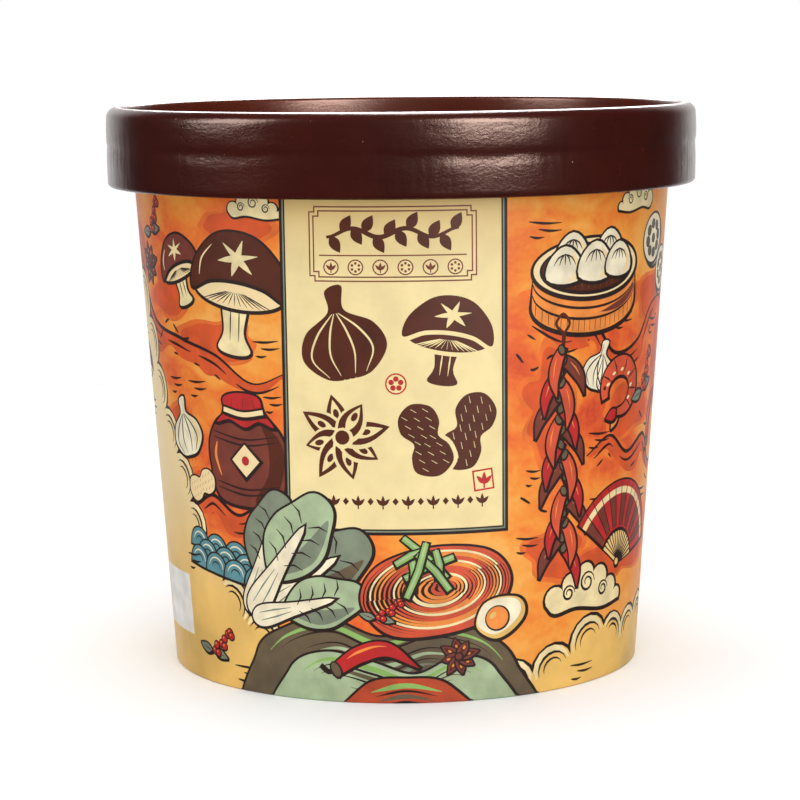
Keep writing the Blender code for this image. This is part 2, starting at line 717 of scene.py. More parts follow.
def brush(route: Points, width: float, start: float = 1.0, end: float = 1.0) -> Points:
    """The outline of a brush stroke.

    Args:
        route: The stroke's middle line.
        width: Its greatest width.
        start: Its width at the start, as a share.
        end: Its width at the end, as a share.

    Returns:
        The closed outline.
    """
    share = np.linspace(0, 1, len(route))
    rise = np.sin(np.clip(share / 0.4, 0, 1) * math.pi / 2)
    fall = np.sin(np.clip((1 - share) / 0.6, 0, 1) * math.pi / 2)
    half = (width / 2 * (start + (1 - start) * rise) * (end + (1 - end) * fall))[:, None]
    side = beside(route) * half
    return np.vstack([route + side, (route - side)[::-1]])


def petal(length: float, width: float, centre: Sequence[float] = (0, 0), turn: float = 0.0,
          base: float = 0.2) -> Points:
    """A pointed leaf that rises from its base point, or as it is turned."""
    return moved(brush(straight([(0, 0), (0, length)], gap=length / 9), width, base, 0.02), centre, turn)


def scallops(corners: Sequence, bulge: float = 0.45) -> Points:
    """A route of round scallops, such as the edge of a cloud.

    Args:
        corners: The points between the scallops.
        bulge: How far each stands out to the left of the way, as a share of its length.

    Returns:
        The route.
    """
    corners = np.asarray(corners, float)
    turns = math.pi * np.arange(8)[:, None] / 8
    made = []
    for here, ahead in zip(corners, np.diff(corners, axis=0)):
        out = np.array((-ahead[1], ahead[0])) * bulge
        made.append(here + ahead * (1 - np.cos(turns)) / 2 + out * np.sin(turns))
    return np.vstack(made + [corners[-1]])


def box(half: float, low: float, high: float, notch: float = 0.0) -> Points:
    """An upright rectangle about the middle, whose corners may be notched.

    Args:
        half: Half its width.
        low: Its foot.
        high: Its top.
        notch: The side of the square that each corner loses.

    Returns:
        Its outline.
    """
    corners = [(-half, low), (half, low), (half, high), (-half, high)]
    if notch:
        n = notch
        corners = [(-half + n, low), (half - n, low), (half - n, low + n), (half, low + n), (half, high - n),
                   (half - n, high - n), (half - n, high), (-half + n, high), (-half + n, high - n),
                   (-half, high - n), (-half, low + n), (-half + n, low + n)]
    return straight(corners, True)


@dataclass
class Motif:
    """One drawn thing of the print. Its shapes are in mm about its own middle."""

    sheet: Sheet
    place: Place
    line: float = 0.72
    contour: Ink = Ink.LINE

    def fill(self, ink: Ink, outline: Points) -> None:
        """Lay a bare shape of ink."""
        self.sheet.paint(ink, self.place(outline))

    def inked(self, ink: Ink, outline: Points, line: float = 1.0) -> None:
        """Lay a shape with a dark contour that is heavier on its shaded side."""
        self.fill(self.contour, grown(outline, self.line * line, 0.3))
        self.fill(ink, outline)

    def stroke(self, route: Points, width: float = 0.7, ink: Ink | None = None, start: float = 0.35,
               end: float = 0.25) -> None:
        """Draw a brush stroke along a route, in the contour's ink if no other is given."""
        self.fill(ink or self.contour, brush(np.asarray(route, float), width, start, end))


@dataclass
class Anise(Motif):
    """A star anise: boat-shaped arms round a small middle, each with a slit and a seed."""

    radius: float = 8.0
    arms: int = 8
    body: Ink = Ink.WOOD
    slit: Ink = Ink.BROWN
    seed: Ink = Ink.ORANGE

    def draw(self) -> None:
        """Draw the arms, then the middle."""
        r = self.radius
        for arm in range(self.arms):
            turn = FULL_TURN * (arm + 0.3) / self.arms
            length = r * (0.9 + 0.1 * math.sin(arm * 2.4))
            low, middle = moved([(0, r * 0.2), (0, r * 0.5)], turn=turn)
            self.inked(self.body, petal(length, r * 0.46, turn=turn, base=0.5))
            self.fill(self.slit, petal(length * 0.66, r * 0.22, low, turn, 0.4))
            self.fill(self.seed, oval(r * 0.12, r * 0.2, middle, turn))
        self.inked(self.body, oval(r * 0.3, r * 0.3))


@dataclass
class Chilli(Motif):
    """A curved chilli with its cap, stalk and a streak of gloss."""

    length: float = 20.0
    width: float = 4.4
    bend: float = 4.0

    def draw(self) -> None:
        """Draw the pod, its gloss, its stalk and its cap."""
        half, wide = self.length / 2, self.width
        spine = smooth([(-1, 0), (-1 / 3, 0.9), (1 / 3, 1), (1, -0.5)], False, size=(half, self.bend))
        self.inked(Ink.RED, brush(spine, wide, 0.7, 0.02))
        streak = spine[len(spine) // 6: len(spine) * 2 // 3] + (0, wide * 0.18)
        self.stroke(streak, wide * 0.16, Ink.ORANGE, 0.1, 0.1)
        stalk = [(-half - wide * 0.85, wide * 0.4), (-half - wide * 0.4, -0.2), (-half + 0.3, 0.1)]
        self.stroke(smooth(stalk, False), wide * 0.36, Ink.LINE, 0.9, 0.6)
        self.inked(Ink.OLIVE, oval(wide * 0.5, wide * 0.95, (-half + 0.3, 0.2), 18), 0.7)


@dataclass
class Mushroom(Motif):
    """A round-capped mushroom with a star cut into its cap."""

    cap: float = 18.0
    skin: Ink = Ink.BROWN
    stem: Ink = Ink.CREAM
    flesh: Ink = Ink.CREAM
    gills: Ink = Ink.GOLD

    def draw(self) -> None:
        """Draw the stem, the gills, the cap, the star and the gloss."""
        half = self.cap / 2
        stem = [(-0.25, -0.1), (-0.22, -0.7), (-0.34, -1), (0, -1.08), (0.34, -1), (0.2, -0.7), (0.25, -0.1)]
        self.inked(self.stem, smooth(stem, size=half))
        for across in (-0.08, 0.1):
            self.stroke(straight([(across, -0.3), (across, -0.85)], size=half), 0.4)
        self.inked(self.gills, oval(self.cap * 0.92, half * 0.52, (0, -half * 0.06)))
        for number in range(-6, 7):
            self.stroke(straight([(number * 0.03, -0.06), (number * 0.13, -0.27)], size=half), 0.32)
        dome = [(-1, -0.1), (-0.94, 0.35), (-0.5, 0.8), (0, 0.92), (0.5, 0.8), (0.94, 0.35), (1, -0.1),
                (0.55, 0.08), (0, 0.14), (-0.55, 0.08)]
        self.inked(self.skin, smooth(dome, size=half))
        notch = brush(straight([(-0.42, 0), (0.42, 0)], gap=half * 0.08, size=half), half * 0.15, 0.05, 0.05)
        for turn in (16, 76, 136):
            self.fill(self.flesh, moved(notch, turn=turn) * (1, 0.74) + (half * 0.03, half * 0.5))
        self.stroke(smooth([(-0.82, 0.12), (-0.76, 0.4), (-0.52, 0.66)], False, size=half), 0.5, self.gills)


@dataclass
class Peanut(Motif):
    """A peanut pod: two lobes with a netted skin."""

    length: float = 16.0
    skin: Ink = Ink.GOLD
    net: Ink = Ink.WOOD

    def draw(self) -> None:
        """Draw the pod and its netting."""
        size = (self.length / 2, self.length * 0.26)
        pod = [(-1, 0.2 / size[1]), (-0.72, 1), (-0.3, 0.95), (0, 0.6), (0.38, 1), (0.8, 0.8), (1, 0),
               (0.76, -0.86), (0.34, -1), (0, -0.68), (-0.34, -1), (-0.78, -0.9)]
        self.inked(self.skin, smooth(pod, size=size))
        for row, up in enumerate((-0.5, 0.0, 0.5)):
            for step in range(-3, 4):
                middle = np.array((0.24 * step + 0.1 * (row % 2), up * (1.1 if step else 0.8)))
                self.stroke(straight([middle - (0.07, 0.1), middle + (0.07, 0.1)], size=size), 0.42, self.net)


@dataclass
class Garlic(Motif):
    """A garlic bulb with its neck and the lines of its cloves."""

    height: float = 15.0
    skin: Ink = Ink.PALE
    shade: Ink = Ink.CREAM

    def draw(self) -> None:
        """Draw the bulb, its shaded side, the clove lines and the root."""
        half = self.height / 2
        bulb = [(-0.12, 1), (-0.16, 0.55), (-0.75, 0.18), (-0.92, -0.35), (-0.5, -0.82), (0, -0.9),
                (0.5, -0.82), (0.92, -0.35), (0.75, 0.18), (0.2, 0.55), (0.26, 1.05)]
        self.inked(self.skin, smooth(bulb, size=half))
        shaded = [(0.1, 0.5), (0.5, 0.1), (0.45, -0.75), (0.8, -0.5), (0.86, -0.2), (0.6, 0.2)]
        self.fill(self.shade, smooth(shaded, size=half))
        for lean in (-0.72, -0.3, 0.22, 0.62):
            clove = [(lean * 0.1, 0.5), (lean * 0.7, 0.1), (lean, -0.35), (lean * 0.6, -0.8)]
            self.stroke(smooth(clove, False, size=half), 0.5)
        for lean in (-0.2, 0, 0.2):
            self.stroke(straight([(lean * 0.6, -0.88), (lean * 1.2, -1.12)], size=half), 0.4)


@dataclass
class Jar(Motif):
    """A clay crock with a tied cloth over its mouth and a bare diamond on its belly."""

    width: float = 20.0
    clay: Ink = Ink.WOOD

    def draw(self) -> None:
        """Draw the belly, its bands and diamond, the cloth and its cord."""
        half = self.width / 2
        belly = [(-0.5, 0.78), (-0.95, 0.36), (-1, -0.25), (-0.68, -1), (0.68, -1), (1, -0.25), (0.95, 0.36),
                 (0.5, 0.78)]
        self.inked(self.clay, smooth(belly, size=half))
        shaded = [(0.45, 0.7), (0.9, 0.3), (0.95, -0.25), (0.66, -0.95), (0.2, -0.98), (0.56, -0.4),
                  (0.6, 0.2)]
        self.fill(Ink.BROWN, smooth(shaded, size=half))
        for level, reach in ((0.42, 0.86), (-0.62, 0.82)):
            for up in (level, level - 0.12):
                self.stroke(smooth([(-reach, up), (0, up - 0.12), (reach, up)], False, size=half), 0.5)
        self.inked(Ink.GOLD, straight([(0, 0.2), (0.36, -0.14), (0, -0.48), (-0.36, -0.14)], True, size=half))
        self.fill(Ink.RED, oval(half * 0.2, half * 0.2, (0, -half * 0.14)))
        self.stroke(smooth([(-0.78, 0.2), (-0.84, -0.1), (-0.7, -0.5)], False, size=half), 0.9, Ink.ORANGE)
        cloth = [(-0.74, 0.62), (-0.5, 0.86), (-0.52, 1.14), (-0.1, 1.26), (0.4, 1.2), (0.52, 0.9),
                 (0.76, 0.6), (0.4, 0.7), (0.05, 0.56), (-0.36, 0.7)]
        self.inked(Ink.RED, smooth(cloth, size=half))
        for lean in (-0.3, 0.02, 0.3):
            for fold in ([(lean, 0.84), (lean * 1.35, 0.68)], [(lean, 0.98), (lean * 0.9, 1.14)]):
                self.stroke(straight(fold, size=half), 0.42)
        cord = smooth([(-0.52, 0.9), (0, 0.82), (0.52, 0.9)], False, size=half)
        self.inked(Ink.GOLD, brush(cord, half * 0.1))


@dataclass
class Steamer(Motif):
    """A round bamboo steamer, seen from a little above, with five buns."""

    width: float = 27.0
    depth: float = 10.5
    wall: float = 6.5

    def draw(self) -> None:
        """Draw the wall with its binding, the rim, the slats and the buns."""
        w, d = self.width / 2, self.depth / 2
        drum = arc((0, -self.wall), (w, d), 180, 360, 26) + arc((0, 0), (w, d), 360, 180, 26)
        self.inked(Ink.ORANGE, np.array(drum))
        for drop in (0.32, 0.62):
            self.stroke(arc((0, -self.wall * drop), (w, d), 184, 356, 24), 0.5)
        for share in np.linspace(-0.94, 0.94, 19).tolist():
            up = -d * math.sqrt(1 - share * share) - self.wall * 0.66
            self.stroke(straight([(w * share, up), (w * share, up - self.wall * 0.3)]), 0.42)
        binding = arc((0, -self.wall * 0.48), (w * 0.98, d), 282, 352, 14)
        self.stroke(binding, self.wall * 0.2, Ink.WOOD, 0.05, 0.5)
        self.inked(Ink.GOLD, oval(self.width, self.depth))
        self.inked(Ink.BROWN, oval(self.width * 0.87, self.depth * 0.8), 0.8)
        for share in np.linspace(-0.8, 0.8, 12).tolist():
            across, reach = w * 0.83 * share, d * 0.74 * math.sqrt(1 - share * share)
            self.stroke(straight([(across, reach), (across, -reach)]), 0.35, Ink.OLIVE)
        for across, up, size in ((-0.38, 0.36, 1.0), (0.34, 0.4, 1.0), (-0.5, -0.18, 1.12),
                                 (0.06, -0.12, 1.2), (0.56, -0.1, 1.05)):
            self.bun((w * across, d * up + 1.2), size * self.width * 0.13)

    def bun(self, centre: Sequence[float], radius: float) -> None:
        """Draw one pleated bun.

        Args:
            centre: Its middle.
            radius: Half its width.
        """
        dome = [(-1, -0.5), (-0.92, 0.3), (-0.3, 0.9), (0.3, 0.9), (0.92, 0.3), (1, -0.5), (0, -0.75)]
        shade = smooth([(0.3, 0.7), (0.9, 0.2), (0.94, -0.45), (0.2, -0.66), (0.66, -0.1)], gap=0.4)
        self.inked(Ink.PALE, moved(smooth(dome, gap=0.35), centre, size=radius), 0.8)
        self.fill(Ink.GOLD, moved(shade, centre, size=radius))
        for lean in (-0.8, -0.4, 0, 0.4, 0.8):
            pleat = smooth([(0, 0.62), (lean * 0.5, 0.45), (lean * 0.8, 0.1)], False, 0.4)
            self.stroke(moved(pleat, centre, size=radius), 0.32)


@dataclass
class Garland(Motif):
    """A hanging string of chillies."""

    length: float = 52.0
    pod: float = 11.5
    count: int = 18

    def draw(self) -> None:
        """Draw the loop, the cord and then the pods, from the lowest up."""
        half = self.length / 2
        loop = [(0.5, half), (-1.8, half + 2.4), (0.2, half + 4.6), (2.2, half + 2.2), (0.5, half)]
        cord = smooth([(0.5, half), (-0.8, half / 3), (0.8, -half / 3), (0, -half)], False)
        self.stroke(smooth(loop, False), 0.8, Ink.BROWN, 0.9, 0.9)
        self.stroke(cord, 1.3, Ink.BROWN, 0.9, 0.9)
        spine = smooth([(0, 0), (self.pod * 0.3, 1.0), (self.pod * 0.66, 0.9), (self.pod, -0.8)], False)
        gloss = [(self.pod * 0.2, 1.3), (self.pod * 0.4, 1.5), (self.pod * 0.62, 1.2)]
        for number in range(self.count):
            share = 1 - number / (self.count - 1)
            at = cord[round((0.06 + 0.92 * share) * (len(cord) - 1))]
            side = -1 if number % 2 else 1
            lean = -62 + 16 * math.sin(number * 2.1)
            skin = (Ink.RED, Ink.BROTH, Ink.WOOD)[(number * 2) % 3]
            pod = brush(moved(spine, turn=lean), self.pod * 0.27, 0.65, 0.02)
            self.inked(skin, pod * (side, 1) + at, 0.85)
            self.fill(Ink.ORANGE, brush(moved(gloss, turn=lean), 0.4, 0.2, 0.2) * (side, 1) + at)
            self.inked(Ink.OLIVE, oval(1.5, 2.2, at + (side * 0.4, -0.3), -side * 30), 0.6)


@dataclass
class Fan(Motif):
    """An open folding fan, with leaves that alternate in shade and bare sticks below."""

    radius: float = 21.0
    sweep: float = 136.0
    folds: int = 14

    def draw(self) -> None:
        """Draw the sticks, the leaf with its folds, the two edge bands and the rivet."""
        start, step = 90 - self.sweep / 2, self.sweep / self.folds
        hub = (0, -self.radius * 0.45)
        ribs = np.array(arc((0, 0), (self.radius,) * 2, start, start + self.sweep, self.folds))
        for rib in ribs:
            self.inked(Ink.GOLD, brush(straight([hub, hub + rib * 0.5]), 0.8), 0.55)
        whole = arc(hub, (self.radius,) * 2, start, start + self.sweep, 36)
        inner = arc(hub, (self.radius * 0.42,) * 2, start + self.sweep, start, 24)
        self.inked(Ink.RED, np.array(whole + inner))
        for low, high, inks in ((0.44, 0.84, (Ink.RED, Ink.WOOD)), (0.84, 0.92, (Ink.CREAM, Ink.GOLD))):
            for fold in range(self.folds):
                one = start + fold * step
                leaf = arc(hub, (self.radius * high,) * 2, one, one + step, 3)
                leaf += arc(hub, (self.radius * low,) * 2, one + step, one, 3)
                self.fill(inks[fold % 2], np.array(leaf))
        for rib in ribs[1:-1]:
            self.stroke(straight([hub + rib * 0.44, hub + rib * 0.99]), 0.36, start=0.7, end=0.7)
        self.inked(Ink.GOLD, oval(1.8, 1.8, hub))


@dataclass
class Egg(Motif):
    """Half a boiled egg."""

    length: float = 13.0

    def draw(self) -> None:
        """Draw the white, its shaded edge, the yolk and its gloss."""
        half = self.length / 2
        white = smooth([(-1, 0), (-0.55, 0.66), (0.1, 0.72), (0.8, 0.42), (1, 0), (0.8, -0.42), (0.1, -0.72),
                        (-0.55, -0.66)], size=half)
        self.inked(Ink.GOLD, white)
        self.fill(Ink.PALE, grown(white, -0.7, 0.9))
        self.inked(Ink.ORANGE, oval(half * 0.86, half * 0.84, (-half * 0.16, 0)), 0.55)
        self.fill(Ink.GOLD, oval(half * 0.3, half * 0.2, (-half * 0.28, half * 0.16), 25))


@dataclass
class Sticks(Motif):
    """A loose pile of cut spring-onion stalks."""

    length: float = 14.0
    count: int = 7

    def draw(self) -> None:
        """Draw each stalk with its light side."""
        for number in range(self.count):
            turn = -34 + 71 * math.sin(number * 1.9)
            centre = (3.2 * math.sin(number * 2.7), 1.9 * math.cos(number * 1.7))
            reach = self.length / 2 * (0.75 + 0.25 * math.cos(number))
            route = moved([(-reach, 0), (0, 0.5), (reach, 0)], centre, turn)
            self.inked(Ink.LEAF, brush(route, 1.5, 0.9, 0.9), 0.75)
            self.fill(Ink.CELADON, brush(route + (0, 0.2), 0.5, 0.9, 0.9))


@dataclass
class Nest(Motif):
    """A swirled nest of strands: rings of noodles, each ring between two guide ovals."""

    width: float = 36.0
    height: float = 21.0

    def draw(self) -> None:
        """Draw the shadow under the nest and then its four sweeps of strands."""
        w, h = self.width / 2, self.height / 2
        mass = [(-1, 0), (-0.72, 0.75), (0, 1), (0.75, 0.7), (1, -0.05), (0.66, -0.8), (0, -1), (-0.7, -0.82)]
        self.inked(Ink.BROTH, smooth(mass, size=(w, h)))
        for start, end, low, high, count in ((0, 200, 0.40, 0.97, 11), (180, 380, 0.36, 0.98, 12),
                                             (-40, 150, 0.06, 0.52, 7), (130, 330, 0.02, 0.46, 6)):
            outer = np.array(arc((0, 0), (w * high, h * high), start, end, 30))
            inner = np.array(arc((w * 0.1, h * 0.06), (w * low, h * low), start + 18, end + 24, 30))
            self.sweep(inner, outer, count)

    def sweep(self, inner: Points, outer: Points, count: int) -> None:
        """Draw strands side by side between two curves.

        Args:
            inner: The first guide.
            outer: The second guide, with as many points.
            count: How many strands there are.
        """
        pitch = np.linalg.norm(outer - inner, axis=1).mean() / count
        self.fill(Ink.LINE, np.vstack([outer, inner[::-1]]))
        for number in range(count):
            ink = (Ink.BROTH, Ink.ORANGE, Ink.CREAM, Ink.BROTH, Ink.ORANGE)[(number * 3) % 5]
            route = inner + (outer - inner) * ((number + 0.5) / count)
            self.stroke(route, pitch * 0.74, ink, 0.55, 0.55)


@dataclass
class Cabbage(Motif):
    """A pak choi lying on its side: pale stalks from one root and broad dark-veined leaves."""

    length: float = 40.0

    def draw(self) -> None:
        """Draw the leaves from the back to the front, each with its stalk."""
        for turn, reach, wide, ink in ((58, 0.86, 0.325, Ink.SAGE), (22, 1.0, 0.375, Ink.SAGE),
                                       (42, 0.98, 0.375, Ink.CELADON), (4, 0.82, 0.3, Ink.CELADON)):
            self.leaf(turn - 90, (self.length * wide, self.length * reach), ink)

    def leaf(self, turn: float, size: tuple[float, float], ink: Ink) -> None:
        """Draw one leaf with its stalk.

        Args:
            turn: Degrees anticlockwise from up.
            size: The blade's width, and the length from the root to the tip.
            ink: The blade's ink.
        """
        def shape(points: Sequence) -> Points:
            """Draw a closed curve in the leaf's own size and direction."""
            return moved(smooth(points, size=size), turn=turn)

        self.inked(ink, shape([(-0.12, 0.36), (-0.46, 0.52), (-0.5, 0.68), (-0.36, 0.82), (-0.2, 0.95),
                               (0.02, 0.98), (0.26, 0.94), (0.42, 0.8), (0.52, 0.66), (0.42, 0.5),
                               (0.12, 0.36)]))
        self.fill(Ink.OLIVE if ink is Ink.SAGE else Ink.SAGE,
                  shape([(0.06, 0.4), (0.4, 0.56), (0.42, 0.72), (0.26, 0.88), (0.18, 0.7)]))
        self.inked(Ink.PALE, shape([(-0.1, 0.06), (-0.22, 0.16), (-0.13, 0.42), (-0.04, 0.72), (0.04, 0.72),
                                    (0.13, 0.42), (0.22, 0.16), (0.1, 0.06)]), 0.8)
        for side in (-1, 1):
            wide = (side * size[0], size[1])
            for share in (0.46, 0.56, 0.66, 0.76):
                vein = np.array([(0.06, share), (0.2, share + 0.05), (0.36, share + 0.06)]) * wide
                self.stroke(moved(vein, turn=turn), 0.5)
            rib = np.array([(0.08, 0.12), (0.07, 0.26), (0.04, 0.4)]) * wide
            self.stroke(moved(rib, turn=turn), 0.42, Ink.SAGE)


@dataclass
class Shrimp(Motif):
    """A curled shrimp with ringed body, tail and whiskers."""

    radius: float = 6.5

    def draw(self) -> None:
        """Draw the whiskers, the tail, the body, its rings and the eye."""
        r = self.radius
        for lift in (0.3, 0.75):
            self.stroke(smooth([(-0.95, -0.2), (-1.5, lift), (-1.2, lift + 1)], False, size=r), 0.42)
        spine = np.array(arc((0, 0), (r, r * 0.86), 200, -96, 30))
        self.inked(Ink.ORANGE, petal(r * 0.7, r * 0.42, spine[-1], 150, 0.3))
        self.inked(Ink.RED, petal(r * 0.75, r * 0.42, spine[-1], 105, 0.3))
        self.inked(Ink.BROTH, brush(spine, r * 0.72, 0.45, 0.35))
        for number in range(5, 28, 4):
            at = spine[number]
            out = at / np.linalg.norm(at) * r
            self.stroke(np.array([at + out * 0.34, at + (0.3, 0.1), at - out * 0.34]), 0.5)
            self.fill(Ink.CREAM, oval(r * 0.22, r * 0.12, spine[number - 1] - out * 0.16, 20))
        self.fill(Ink.LINE, oval(r * 0.16, r * 0.16, spine[2] + (0, r * 0.1)))


@dataclass
class Lotus(Motif):
    """A slice of lotus root with its ring of holes."""

    radius: float = 6.5

    def draw(self) -> None:
        """Draw the thick edge, the face and the holes."""
        r = self.radius
        self.inked(Ink.GOLD, oval(r * 2, r * 1.8, (0.9, -1.0)))
        self.inked(Ink.PALE, oval(r * 2, r * 1.8))
        for turn, hole in zip(range(0, 360, 45), arc((0, 0), (r * 0.6, r * 0.54), 0, 315, 7)):
            self.inked(Ink.OLIVE, oval(r * 0.3, r * 0.34, hole, turn), 0.4)
        self.inked(Ink.OLIVE, oval(r * 0.3, r * 0.28), 0.4)


@dataclass
class Cloud(Motif):
    """A cloud with scalloped top, flat tail and scroll lines inside."""

    width: float = 24.0

    def draw(self) -> None:
        """Draw the body and then its scrolls."""
        half = self.width / 2
        top = [(-1, 0), (-0.62, 0.2), (-0.3, 0.42), (0.12, 0.46), (0.48, 0.22), (0.8, 0.02), (1, -0.14)]
        edge = scallops(np.array(top) * half, 0.5)
        tail = smooth([(1, -0.14), (0.4, -0.2), (-0.3, -0.1), (-0.8, -0.16), (-1, 0)], False, size=half)
        self.inked(Ink.CREAM, np.vstack([edge, tail[1:-1]]))
        turns = np.linspace(0, 1.6 * math.tau, 22)
        scroll = np.column_stack([np.cos(turns), np.sin(turns)]) * (1 - turns / 14)[:, None]
        for across, up, size in ((-0.5, 0.16, 0.15), (-0.04, 0.3, 0.2), (0.42, 0.12, 0.15)):
            self.stroke(scroll * half * size + (half * across, half * up), 0.55, end=0.4)


@dataclass
class Waves(Motif):
    """Three rows of round water waves, each with two inner lines."""

    radius: float = 4.6
    columns: int = 4
    rows: int = 3
    depth: float = 1.4

    def draw(self) -> None:
        """Draw the rows from the top down."""
        for row in range(self.rows):
            columns = self.columns - row % 2
            for column in range(columns):
                across, up = (column - (columns - 1) / 2) * self.radius * 1.9, -row * self.radius * 0.62
                wave = arc((across, up), (self.radius,) * 2, 0, 180, 14)
                wave += [(across + side * self.radius, up - self.depth) for side in (-1, 1)]
                self.inked(Ink.STEEL, np.array(wave))
                for share, ink in ((0.72, Ink.PALE), (0.42, Ink.LINE)):
                    self.stroke(arc((across, up), (self.radius * share,) * 2, 8, 172, 10), 0.5, ink)


@dataclass
class Sprig(Motif):
    """A twig with small round peppercorns and two leaves."""

    length: float = 16.0
    count: int = 9

    def draw(self) -> None:
        """Draw the leaves, the twig and the berries."""
        half = self.length / 2
        twig = smooth([(-1, -0.3), (0, 0), (0.8, 0.5)], False, size=half)
        for base, turn in (((-half * 0.7, -half * 0.2), 62), ((-half * 0.5, -half * 0.16), -118)):
            self.inked(Ink.SAGE, petal(half * 0.8, half * 0.34, base, turn))
            self.stroke(moved([(0, 0.4), (0, half * 0.3), (0, half * 0.6)], base, turn), 0.36)
        self.stroke(twig, 0.8, Ink.LINE, 0.9, 0.5)
        for number in range(self.count):
            at = twig[min(len(twig) - 1, 5 + number * (len(twig) - 6) // 8)]
            side = 1.7 * math.sin(number * 2.2)
            self.inked(Ink.RED, oval(2.2, 2.2, at + (side * 0.5, side)), 0.6)
            self.fill(Ink.ORANGE, oval(0.7, 0.6, at + (side * 0.5 - 0.3, side + 0.4)))


@dataclass
class Mist(Motif):
    """A wandering line with a vermilion wash below it and two broken lines beside it."""

    route: Sequence[Sequence[float]] = ()
    gap: float = 2.1

    def draw(self) -> None:
        """Draw the wash, the line and the broken lines."""
        line = smooth(self.route, False)
        below = -beside(line)
        wobble = np.array([noise.noise(Vector((x * 0.11, y * 0.11, 4))) for x, y in line.tolist()])
        depth = (4.6 + 5.0 * wobble) * np.sin(np.linspace(0, math.pi, len(line))) ** 0.5
        self.fill(Ink.EMBER, np.vstack([line, (line + below * depth[:, None])[::-1]]))
        self.stroke(line, 0.95)
        for times, width, pitch, reach in ((1, 0.7, 17, 14), (2.1, 0.6, 11, 4)):
            broken = line + below * self.gap * times
            for start in range(2, len(line) - reach, pitch):
                self.stroke(broken[start: start + reach], width)


@dataclass
class Blot(Motif):
    """An irregular vermilion wash with a lighter edge."""

    width: float = 24.0
    depth: float = 12.0
    seed: float = 1.0

    def draw(self) -> None:
        """Draw the blot, its edge pushed in and out by noise."""
        edge = oval(self.width, self.depth)
        push = [1 + 0.55 * noise.noise(Vector((x * 0.12, y * 0.2, self.seed))) for x, y in edge.tolist()]
        blot = edge * np.array(push)[:, None]
        self.fill(Ink.FLAME, blot * 1.2)
        self.fill(Ink.EMBER, blot)


@dataclass
class Dashes(Motif):
    """A few short level strokes."""

    length: float = 8.0
    count: int = 3

    def draw(self) -> None:
        """Draw the strokes one under another, each shifted a little."""
        for number in range(self.count):
            reach = self.length / 2 * (1 - 0.28 * number)
            shift = np.array((self.length * 0.22 * math.sin(number * 2.3), -1.7 * number))
            self.stroke(smooth([(-reach, 0.2), (0, -0.1), (reach, 0.15)], False) + shift, 0.62)


@dataclass
class Trail(Motif):
    """A dashed line along a wandering route."""

    route: Sequence[Sequence[float]] = ()

    def draw(self) -> None:
        """Draw the dashes."""
        line = smooth(self.route, False, 0.7)
        for start in range(0, len(line) - 5, 8):
            self.stroke(line[start: start + 5], 0.7, start=0.6, end=0.6)


@dataclass
class Patch(Motif):
    """A bare pale patch."""

    width: float = 20.0
    height: float = 15.0

    def draw(self) -> None:
        """Draw the patch."""
        self.fill(Ink.WHITE, box(self.width / 2, -self.height / 2, self.height / 2))


